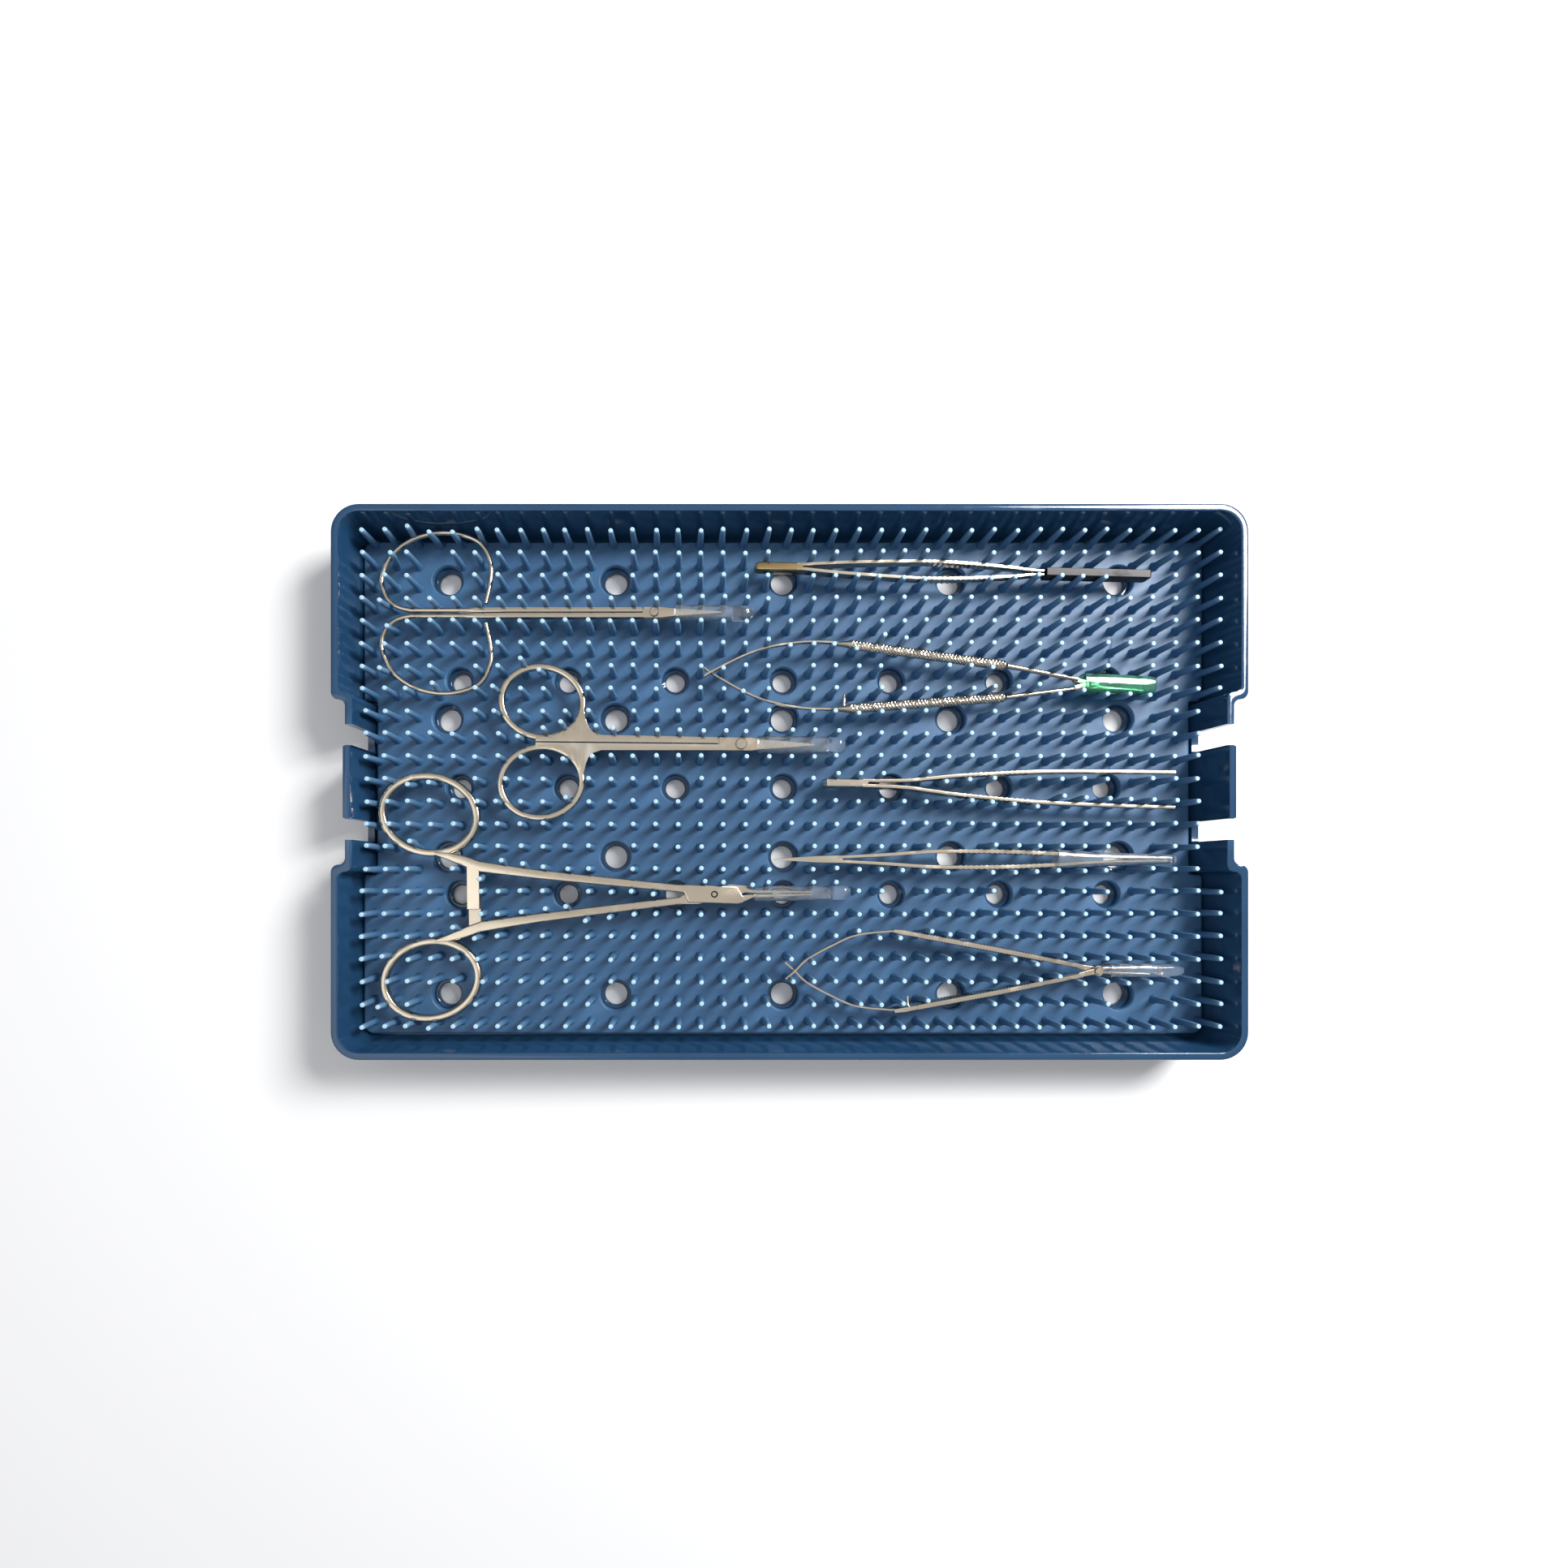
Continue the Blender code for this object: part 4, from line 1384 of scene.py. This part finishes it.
@dataclass
class IrisScissors:
    """Small ring-handled scissors."""

    ring_radii: tuple[float, float] = (11.7, 10.1)
    ring_centre: tuple[float, float] = (-57.2, 11.5)
    ring_tilt: float = 9.0
    web: tuple[tuple[float, float], ...] = (
        (-58.8, 1.5), (-54.7, 1.5), (-51.0, 2.7), (-48.0, 4.9), (-46.1, 8.0), (-45.4, 9.6), (-44.9, 8.6),
        (-44.4, 6.2), (-43.6, 4.3), (-42.3, 3.0), (-40.0, 2.2),
    )
    ring_half: float = 0.93
    shank_ease: float = 0.35
    blade_ease: float = 0.12
    bore: float = 1.15
    guard_wall: float = 0.4

    def build(self, shop: Workshop) -> None:
        """Makes both halves, the screw and the guard.

        Args:
            shop: the workshop.
        """
        place = shop.seat("iris_scissors_pivot", shop.bearing("iris_guard_slide"))
        for word, side, layer in HALVES:
            centre = (self.ring_centre[0], self.ring_centre[1] * side)
            tilt = -self.ring_tilt * side
            ring = finger_ring(centre, self.ring_radii, tilt, self.ring_half, HALF_STOCK)
            near = 0.15 * side
            shank = bar([
                (x, *sorted((near, far * side)), z) for x, far, z in (
                    *((x, far, BOTH_LAYERS) for x, far in self.web), (-6.8, 1.9, BOTH_LAYERS),
                    (-6.7, 1.9, layer), (-5.6, 1.9, layer),
                )
            ], self.shank_ease, keen=True)
            blade = bar([
                (-6.2, -1.9, 1.9, layer), (3.0, -1.9, 1.9, layer), (5.5, -1.5, 1.5, layer),
                (13.0, -0.95, 0.95, layer), (21.0, -0.25, 0.25, layer),
            ], self.blade_ease)
            node = f"iris_scissors_{word}"
            shop.piece(node, ring, place, joined=[shank, blade],
                       cut=[button(self.bore, *THROUGH, 0)])
        slotted_screw(shop, "iris_scissors_screw", place, 0.8, 1.6, 0.5)
        tip_guard(shop, "iris_scissors_tip_guard", place, (
            (5.0, 2.45, 2.2), (25.0, 2.4, 2.1), (28.6, 2.1, 1.9), (29.9, 1.2, 1.0),
        ), self.guard_wall)


@dataclass
class Clamp:
    """A ratchet clamp with a box lock: one half's tongue passes through the other's box."""

    half: float = 1.5
    ring_radii: tuple[float, float] = (13.6, 10.95)
    ring_centre: tuple[float, float] = (-81.4, 23.7)
    ring_tilt: float = 11.0
    ring_section: tuple[float, float] = (1.08, 1.4)
    bore: float = 1.0
    tooth_pitch: float = 1.3
    teeth: int = 5

    def shank(self, side: int, end: float) -> bmesh.types.BMesh:
        """The arm from a finger ring to the lock.

        Args:
            side: 1 for the upper half, -1 for the lower half.
            end: where the arm ends in the lock.

        Returns:
            A closed bmesh in millimetres.
        """
        full = (-self.half, self.half)
        stations = (
            (-80.0, 12.1, 13.1), (-76.0, 10.6, 12.8), (-71.5, 8.7, 11.7), (-66.7, 7.0, 10.1),
            (-58.0, 5.9, 8.7), (-50.0, 4.9, 7.5), (-30.0, 2.75, 5.15), (-10.2, 0.7, 2.9),
            (end, 0.35, 2.85),
        )
        return bar([(x, *sorted((y0 * side, y1 * side)), full) for x, y0, y1 in stations], 0.4)

    def ratchet(self, side: int) -> list[bmesh.types.BMesh]:
        """The bar across to the other arm, with its catches on the facing side.

        Args:
            side: 1 for the upper half, -1 for the lower half.

        Returns:
            The bar and its catches.
        """
        layer = (GAP / 2 + 0.25, 1.45) if side > 0 else (-1.45, -GAP / 2 - 0.25)
        reach = sorted((9.6 * side, -3.6 * side))
        shapes = [bar([(-70.6, *reach, layer), (-67.2, *reach, layer)], 0.15)]
        face = GAP / 2 if side > 0 else -GAP / 2
        for k in range(self.teeth):
            y = side * (-3.1 + k * self.tooth_pitch)
            deep = layer[0] + 0.2 if side > 0 else layer[1] - 0.2
            rise = tuple(sorted((face, deep)))
            shapes.append(bar([(x, y - 0.4, y + 0.4, rise) for x in (-70.1, -67.7)], 0))
        return shapes

    @staticmethod
    def jaw(side: int, start: tuple[float, float, float, float]) -> bmesh.types.BMesh:
        """A slender jaw on one side of the middle line, from its (x, near, far, half height) start.

        Args:
            side: 1 or -1, in Y.
            start: (x, near, far, half height) at the root.

        Returns:
            A closed bmesh in millimetres.
        """
        ends = ((11.0, 1.15), (20.0, 0.85), (28.0, 0.5))
        stations = [start] + [(x, 0.15, far, 1.0) for x, far in ends]
        return bar([
            (x, *sorted((y0 * side, y1 * side)), (-z, z)) for x, y0, y1, z in stations
        ], 0.15)

    def build(self, shop: Workshop) -> None:
        """Makes both halves, the pin and the guard.

        Args:
            shop: the workshop.
        """
        place = shop.seat("clamp_pivot", shop.bearing("clamp_guard_slide"))
        ring_x, ring_y = self.ring_centre
        section = self.ring_section
        female = finger_ring((ring_x, ring_y), self.ring_radii, -self.ring_tilt, *section)
        full = (-2.1, 2.1)
        box = bar([
            (-8.6, 0.35, 2.85, full), (-7.6, -2.2, 2.9, full), (6.6, -2.9, 2.2, full),
            (8.0, -2.6, -0.35, full),
        ], 0.35)
        gap = (-0.7, 0.7)
        slot = bar([
            (-9.0, -3.6, 0.05, gap), (-4.5, -3.6, 1.5, gap), (4.5, -1.5, 3.6, gap),
            (9.0, -0.05, 3.6, gap),
        ], 0)
        jaw = self.jaw(-1, (7.6, 0.35, 2.6, 1.4))
        shop.piece("clamp_upper_half", female, place,
                   joined=[self.shank(1, -8.0), *self.ratchet(1), box, jaw],
                   cut=[slot, button(self.bore, *THROUGH_LOCK, 0)])
        male = finger_ring((ring_x, -ring_y), self.ring_radii, self.ring_tilt, *section)
        thin = (-0.4, 0.4)
        tongue = bar([
            (-9.8, -2.7, -0.45, thin), (-4.5, -2.7, 0.6, thin), (4.5, -0.6, 2.7, thin),
            (9.4, 0.45, 2.25, thin),
        ], 0)
        jaw = self.jaw(1, (8.5, 0.45, 2.3, 1.0))
        shop.piece("clamp_lower_half", male, place,
                   joined=[self.shank(-1, -9.3), *self.ratchet(-1), tongue, jaw],
                   cut=[button(self.bore, *THROUGH_LOCK, 0)])
        shop.piece("clamp_pin", button(0.7, -2.1, 2.1, 0.15), place)
        tip_guard(shop, "clamp_tip_guard", place, (
            (11.7, 2.2, 2.0), (33.0, 2.1, 1.9), (37.4, 2.0, 1.8), (39.0, 1.3, 1.1),
        ), 0.35)


# ---------------------------------------------------------------- forceps and tweezers


@dataclass
class SpringForceps:
    """Two spring legs that leave one tail, as (x, half spread, half thickness) stations."""

    name: str
    tail: tuple[Point, ...]
    legs: tuple[Point, ...]
    height: float
    taper: float
    grip: tuple[float, float]
    ridge: tuple[float, float] = (1.5, 0.12)
    hinge_at: float = 0.0

    def leg(self, side: int) -> bmesh.types.BMesh:
        """One leg, with grip ridges.

        Args:
            side: 1 for the upper half, -1 for the lower half.

        Returns:
            A closed bmesh in millimetres.
        """
        last = self.legs[-1][0]
        weld = (-1.5, *self.legs[0][1:])
        path = [
            (x, y * side, 0.0, thick, self.height * (1 - (1 - self.taper) * x / last))
            for x, y, thick in (weld, *self.legs)
        ]
        path = stretch_round(path, PATH_SPANS)
        return loft(ridged(path, *self.grip, *self.ridge), Section.FLAT)

    def build(self, shop: Workshop, place: Matrix) -> None:
        """Makes the tail and both legs.

        Args:
            shop: the workshop.
            place: the instrument's frame, in metres.
        """
        first = self.tail[0]
        nose = (first[0] - 0.35, first[1] * 0.5, first[2] * 0.6)
        tail = [(x, -y, y, (-z, z)) for x, y, z in (nose, *self.tail)]
        node = f"{self.name}_tail"
        shop.piece(node, bar(tail, 0.45), place)
        for word, side in (("upper", 1), ("lower", -1)):
            node = f"{self.name}_{word}_leg"
            bend = None
            if self.hinge_at:
                start = place @ Vector((1.0 * MM, 0, 0))
                end = place @ Vector(((self.hinge_at + 10) * MM, 0, 0))
                bend = (self.name, f"{self.name}_{word}", start, end)
            shop.piece(node, self.leg(side), place, bend=bend)


def build_forceps(shop: Workshop) -> None:
    """Makes the sheathed forceps, the tweezers and the slim forceps.

    Args:
        shop: the workshop.
    """
    sheathed = SpringForceps(
        "sheathed_forceps", ((-13.3, 0.9, 1.4), (-12.4, 1.15, 1.9), (0, 1.15, 1.9)),
        ((0.3, 0.65, 0.48), (12.0, 1.5, 0.5), (33.0, 2.4, 0.5), (46.4, 2.15, 0.5), (60.0, 1.25, 0.45),
         (69.5, 0.5, 0.3), (96.0, 0.45, 0.25)), 1.9, 0.5, (34.0, 54.0))
    bearing = shop.bearing("sheath_slide")
    place = tail_seat("sheathed_forceps_tail", bearing, sheathed.tail[0][0])
    sheathed.build(shop, place)
    tip_guard(shop, "sheathed_forceps_sheath", place, (
        (69.6, 1.2, 2.3), (84.0, 1.2, 2.3), (97.5, 1.2, 2.2), (98.7, 1.2, 2.1), (99.4, 1.0, 1.8),
    ), 0.3, Section.FLAT)
    tweezers = SpringForceps(
        "tweezers", ((-12.6, 0.9, 1.6), (-11.6, 1.15, 2.6), (0, 1.15, 3.0)),
        ((0.3, 0.72, 0.5), (10.8, 1.0, 0.5), (18.0, 1.8, 0.5), (28.7, 2.95, 0.5), (49.3, 4.35, 0.5),
         (70.0, 4.85, 0.48), (88.4, 5.0, 0.45)), 3.0, 0.35, (27.0, 46.0), hinge_at=8.0)
    hinge = shop.seat("tweezers_upper_squeeze", -1.1)
    tweezers.build(shop, hinge @ Matrix.Translation((-tweezers.hinge_at * MM, 0, 0)))
    slim = SpringForceps(
        "slim_forceps", ((-19.5, 0.15, 0.4), (-8.0, 0.9, 1.3), (0, 1.1, 1.8)),
        ((0.3, 0.66, 0.45), (12.0, 1.25, 0.5), (26.6, 2.2, 0.55), (44.6, 2.2, 0.6), (61.0, 1.6, 0.55),
         (74.0, 0.75, 0.4), (93.0, 0.42, 0.24)), 1.9, 0.5, (33.0, 58.0))
    place = tail_seat("slim_forceps_tail", 0.0, slim.tail[0][0])
    slim.build(shop, place)
    tip_guard(shop, "slim_forceps_tip_guard", place, (
        (61.4, 2.7, 2.6), (76.0, 2.0, 2.3), (93.8, 1.3, 1.8), (94.6, 1.15, 1.6), (95.2, 0.85, 1.2),
    ), 0.4)


def tail_seat(node: str, degrees: float, tail_end: float) -> Matrix:
    """The frame of forceps with no hinge, from where their tail lies.

    Args:
        node: the tail's CAD node.
        degrees: how the forceps are turned in the tray.
        tail_end: the tail's far end along X.

    Returns:
        The frame's matrix, in metres.
    """
    low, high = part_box(node)
    turn = Matrix.Rotation(math.radians(degrees), 4, "Z")
    middle = (low + high) / 2
    return Matrix.Translation(middle) @ turn @ Matrix.Translation((-tail_end / 2 * MM, 0, 0))


# ---------------------------------------------------------------- spring needle holders


@dataclass
class NeedleHolder:
    """A spring needle holder: two crossing halves, two leaf springs, a stop pin and a screw."""

    name: str
    slide: str
    handle: tuple[Point, ...]
    section: Section
    lap: float
    jaw_root: float
    jaw_length: float
    opening: float
    spring: tuple[tuple[float, float], ...]
    pin: tuple[float, float, float, float]
    guard: tuple[Point, ...]
    wall: float
    grip: tuple[float, float]
    knurl_starts: int = 5
    knurl_pitch: float = 3.3
    knurl_sunk: float = 0.16
    knurl_rise: float = 0.24
    fine_step: float = 0.2
    leaf_half: float = 0.28
    bore: float = 0.92

    def handle_shape(self, side: int) -> bmesh.types.BMesh:
        """The handle and its rod, knurled if round and ridged if flat.

        Args:
            side: 1 for the upper half, -1 for the lower half.

        Returns:
            A closed bmesh in millimetres.
        """
        path = [(x, y * side, 0.0, w, h) for x, y, w, h in self.handle]
        if self.section is Section.FLAT:
            return loft(ridged(path, *self.grip, 0.85, 0.12), self.section)
        fine = []
        for a, b in zip(path, path[1:]):
            steps = max(int((b[0] - a[0]) / self.fine_step), 1)
            fine += [tuple(p + (q - p) * k / steps for p, q in zip(a, b)) for k in range(steps)]
        bm = loft([*fine, path[-1]], Section.KNURLED)
        self.knurl(bm, path)
        return bm

    def knurl(self, bm: bmesh.types.BMesh, path: Sequence[Point]) -> None:
        """Presses a diamond pattern into the handle between the grip's ends.

        Args:
            bm: the handle's shape.
            path: the handle's stations.
        """
        first, last = path[2], path[3]
        for v in bm.verts:
            if not self.grip[0] < v.co.x < self.grip[1]:
                continue
            t = (v.co.x - first[0]) / (last[0] - first[0])
            spine = Vector((v.co.x, first[1] + (last[1] - first[1]) * t, 0))
            out = v.co - spine
            angle = self.knurl_starts * math.atan2(out.z, out.y)
            along = v.co.x * self.knurl_pitch
            cross = abs(math.cos(angle + along)) * abs(math.cos(angle - along))
            v.co = spine + out.normalized() * (first[3] - self.knurl_sunk + self.knurl_rise * cross)

    def jaw(self, side: int, layer: tuple[float, float]) -> bmesh.types.BMesh:
        """A jaw that leans off the middle line.

        Args:
            side: 1 or -1, in Y.
            layer: (z low, z high) of the half's layer.

        Returns:
            A closed bmesh in millimetres.
        """
        lean = math.tan(math.radians(self.opening / 2))
        stations = []
        for x, thick in ((1.2, self.jaw_root), (self.jaw_length * 0.6, 0.65), (self.jaw_length, 0.42)):
            inner = 0.15 + x * lean
            stations.append((x, *sorted((side * inner, side * (inner + thick))), layer))
        return bar(stations, 0.1)

    def half(
        self, shop: Workshop, place: Matrix, word: str, side: int, layer: tuple[float, float]
    ) -> None:
        """One half: handle, rod, lap plate and the jaw on the other side.

        Args:
            shop: the workshop.
            place: the instrument's frame, in metres.
            word: the end of the node's name.
            side: 1 for the upper half, -1 for the lower half.
            layer: (z low, z high) of the half's layer.
        """
        end_x, end_y = self.handle[-1][0], self.handle[-1][1] * side
        link = bar([
            (end_x - 1.2, end_y - 0.6, end_y + 0.6, layer),
            (-1.0, *sorted((-0.6 * side, 1.1 * side)), layer), (0.4, -0.9, 0.9, layer),
        ], 0.1)
        node = f"{self.name}_{word}"
        shop.piece(node, self.handle_shape(side), place,
                   joined=[link, button(self.lap, *layer, 0.08), self.jaw(-side, layer)],
                   cut=[button(self.bore, *THROUGH, 0)])

    def leaf(self, side: int, layer: tuple[float, float]) -> bmesh.types.BMesh:
        """A leaf spring from its free tail out to its handle.

        Args:
            side: 1 for the upper half, -1 for the lower half.
            layer: (z low, z high) of the half's layer.

        Returns:
            A closed bmesh in millimetres.
        """
        middle, half = sum(layer) / 2, (layer[1] - layer[0]) / 2
        end_x, end_y = self.spring[-1]
        points = (*self.spring, (end_x + 1.2, end_y - 0.05))
        path = [(x, y * side, middle, self.leaf_half, half) for x, y in points]
        return loft(stretch_round(path, PATH_SPANS), Section.FLAT)

    def build(self, shop: Workshop) -> None:
        """Makes every piece of the holder.

        Args:
            shop: the workshop.
        """
        place = shop.seat(f"{self.name}_squeeze", shop.bearing(self.slide))
        self.half(shop, place, "upper_handle", 1, BOTTOM_LAYER)
        self.half(shop, place, "lower_handle", -1, TOP_LAYER)
        upper = f"{self.name}_upper_spring"
        shop.piece(upper, self.leaf(1, (0.2, 1.9)), place)
        lower = f"{self.name}_lower_spring"
        start = place @ Vector((self.spring[1][0] * MM, 0, 0))
        end = place @ Vector((self.spring[-1][0] * MM, 0, 0))
        shop.piece(lower, self.leaf(-1, (-1.9, -0.2)), place,
                   bend=(self.name, f"{self.name}_lower", start, end))
        radius, pin_x, pin_low, pin_high = self.pin
        stations = [(pin_x, y, 0.0, r, r) for y, r in (
            (pin_low, radius), (pin_high - 0.12, radius), (pin_high, radius - 0.12),
        )]
        node = f"{self.name}_stop_post"
        shop.piece(node, loft(stations, Section.ROUND), place)
        slotted_screw(shop, f"{self.name}_pivot_screw", place, 0.6, 1.15, 0.4)
        node = f"{self.name}_tip_guard"
        tip_guard(shop, node, place, self.guard, self.wall)


NEEDLE_HOLDERS = (
    NeedleHolder(
        "round_needle_holder", "round_guard_slide",
        ((-74.6, 9.3, 0.35, 0.8), (-70.6, 9.3, 0.95, 1.2), (-69.4, 9.2, 1.35, 1.35),
         (-25.4, 4.6, 1.35, 1.35), (-24.4, 4.5, 0.75, 0.75), (-4.0, 1.3, 0.62, 0.62)),
        Section.ROUND, 1.55, 1.2, 15.0, 9.0,
        ((-111.4, -1.5), (-109.2, 0.0), (-100.0, 4.9), (-92.5, 7.6), (-83.0, 9.2), (-74.9, 9.3)),
        (0.45, -71.0, -8.3, -5.1),
        ((-2.8, 2.85, 2.7), (4.0, 2.8, 2.6), (15.7, 2.5, 2.4), (17.4, 2.0, 2.0), (18.2, 1.1, 1.1)),
        0.4, (-69.2, -25.8),
    ),
    NeedleHolder(
        "flat_needle_holder", "flat_guard_slide",
        ((-58.7, 11.4, 0.55, 2.0), (-56.0, 11.0, 0.75, 2.4), (-30.0, 6.2, 0.75, 2.2),
         (-12.0, 2.7, 0.7, 1.4), (-4.5, 1.25, 0.6, 1.1)),
        Section.FLAT, 1.5, 0.75, 15.0, 6.0,
        ((-89.6, -2.3), (-87.0, 0.0), (-83.4, 3.4), (-76.3, 7.35), (-69.1, 10.3), (-59.0, 11.4)),
        (0.45, -54.4, -10.1, -7.2),
        ((3.1, 1.95, 2.3), (18.0, 1.85, 2.1), (23.0, 1.5, 1.7), (24.6, 0.7, 0.8)),
        0.35, (-52.0, -16.0),
    ),
)


# ---------------------------------------------------------------- studio


@dataclass
class Studio:
    """The floor, the soft light and the camera straight above."""

    eye: tuple[float, float, float] = (-0.0298, -0.0273, 0.247)
    lens: float = 18.94
    shift: tuple[float, float] = (0.0652, 0.0616)
    floor_half: float = 3.0
    floor_drop: float = 0.0003
    floor_tone: float = 0.82
    surround: tuple[tuple[float, Point], ...] = (
        (0.05, (0.20, 0.21, 0.23, 1)), (1.0, (0.98, 0.98, 1.0, 1)), (0.60, (0.36, 0.37, 0.40, 1)),
    )
    surround_strength: float = 0.70
    lamps: tuple[tuple[str, Point, float, float], ...] = (
        ("key", (0.50, 0.34, 0.58), 0.32, 11.5), ("fill", (-0.45, -0.20, 0.60), 0.60, 1.0),
    )

    def build(self) -> None:
        """Makes the studio."""
        bm = bmesh.new()
        bmesh.ops.create_grid(bm, x_segments=2, y_segments=2, size=self.floor_half)
        floor = bpy.data.objects.new("floor", bpy.data.meshes.new("floor"))
        bm.to_mesh(floor.data)
        bm.free()
        bpy.context.scene.collection.objects.link(floor)
        paper = bpy.data.materials.new("floor_paper")
        paper.use_nodes = True
        shader = paper.node_tree.nodes["Principled BSDF"]
        tone = self.floor_tone
        shader.inputs["Base Color"].default_value = (tone, tone, tone, 1)
        shader.inputs["Roughness"].default_value = 0.7
        floor.data.materials.append(paper)
        floor.location.z = -self.floor_drop
        floor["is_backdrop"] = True
        self.lights()
        camera = bpy.data.objects.new("camera", bpy.data.cameras.new("camera"))
        bpy.context.scene.collection.objects.link(camera)
        camera.location = self.eye
        camera.data.lens = self.lens
        camera.data.sensor_width = 36.0
        camera.data.shift_x, camera.data.shift_y = self.shift
        camera.data.clip_start = 0.01
        bpy.context.scene.camera = camera

    def lights(self) -> None:
        """A surround that darkens towards the horizon, and two soft lamps."""
        world = bpy.data.worlds.new("studio")
        world.use_nodes = True
        tree = world.node_tree
        heading = tree.nodes.new("ShaderNodeTexCoord")
        parts = tree.nodes.new("ShaderNodeSeparateXYZ")
        tree.links.new(heading.outputs["Generated"], parts.inputs["Vector"])
        sky = tree.nodes.new("ShaderNodeValToRGB")
        set_ramp(sky, self.surround)
        tree.links.new(parts.outputs["Z"], sky.inputs["Fac"])
        tree.links.new(sky.outputs["Color"], tree.nodes["Background"].inputs["Color"])
        tree.nodes["Background"].inputs["Strength"].default_value = self.surround_strength
        bpy.context.scene.world = world
        bpy.context.scene.view_settings.view_transform = "Standard"
        for name, spot, size, power in self.lamps:
            lamp = bpy.data.objects.new(name, bpy.data.lights.new(name, "AREA"))
            lamp.data.size = size
            lamp.data.energy = power
            lamp.location = spot
            lamp.rotation_euler = (-Vector(spot)).to_track_quat("-Z", "Y").to_euler()
            bpy.context.scene.collection.objects.link(lamp)


def write_sizes(cad: tuple[Vector, Vector]) -> None:
    """Turns the CAD box and the visual model's box into JSON text, which is not kept or written.

    Args:
        cad: the CAD's two corners.
    """
    for box in (cad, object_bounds()):
        json.dumps([list(box[0]), list(box[1])]) + "\n"


def main() -> None:
    """Builds the looks in order."""
    logging.basicConfig(level=logging.INFO, format="%(name)s %(message)s")
    for old in list(bpy.data.objects):
        bpy.data.objects.remove(old, do_unlink=True)
    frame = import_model()
    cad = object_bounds()
    Studio().build()
    shop = Workshop(frame)
    holes = DrainHoles()
    TrayBase(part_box("tray_base")[1].z / MM).build(shop, holes)
    low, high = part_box("finger_mat")
    FingerMat(low.z / MM, high.z / MM).build(shop, holes)
    LoopScissors().build(shop)
    IrisScissors().build(shop)
    Clamp().build(shop)
    build_forceps(shop)
    for holder in NEEDLE_HOLDERS:
        holder.build(shop)
    write_sizes(cad)


if __name__ == "__main__":
    main()
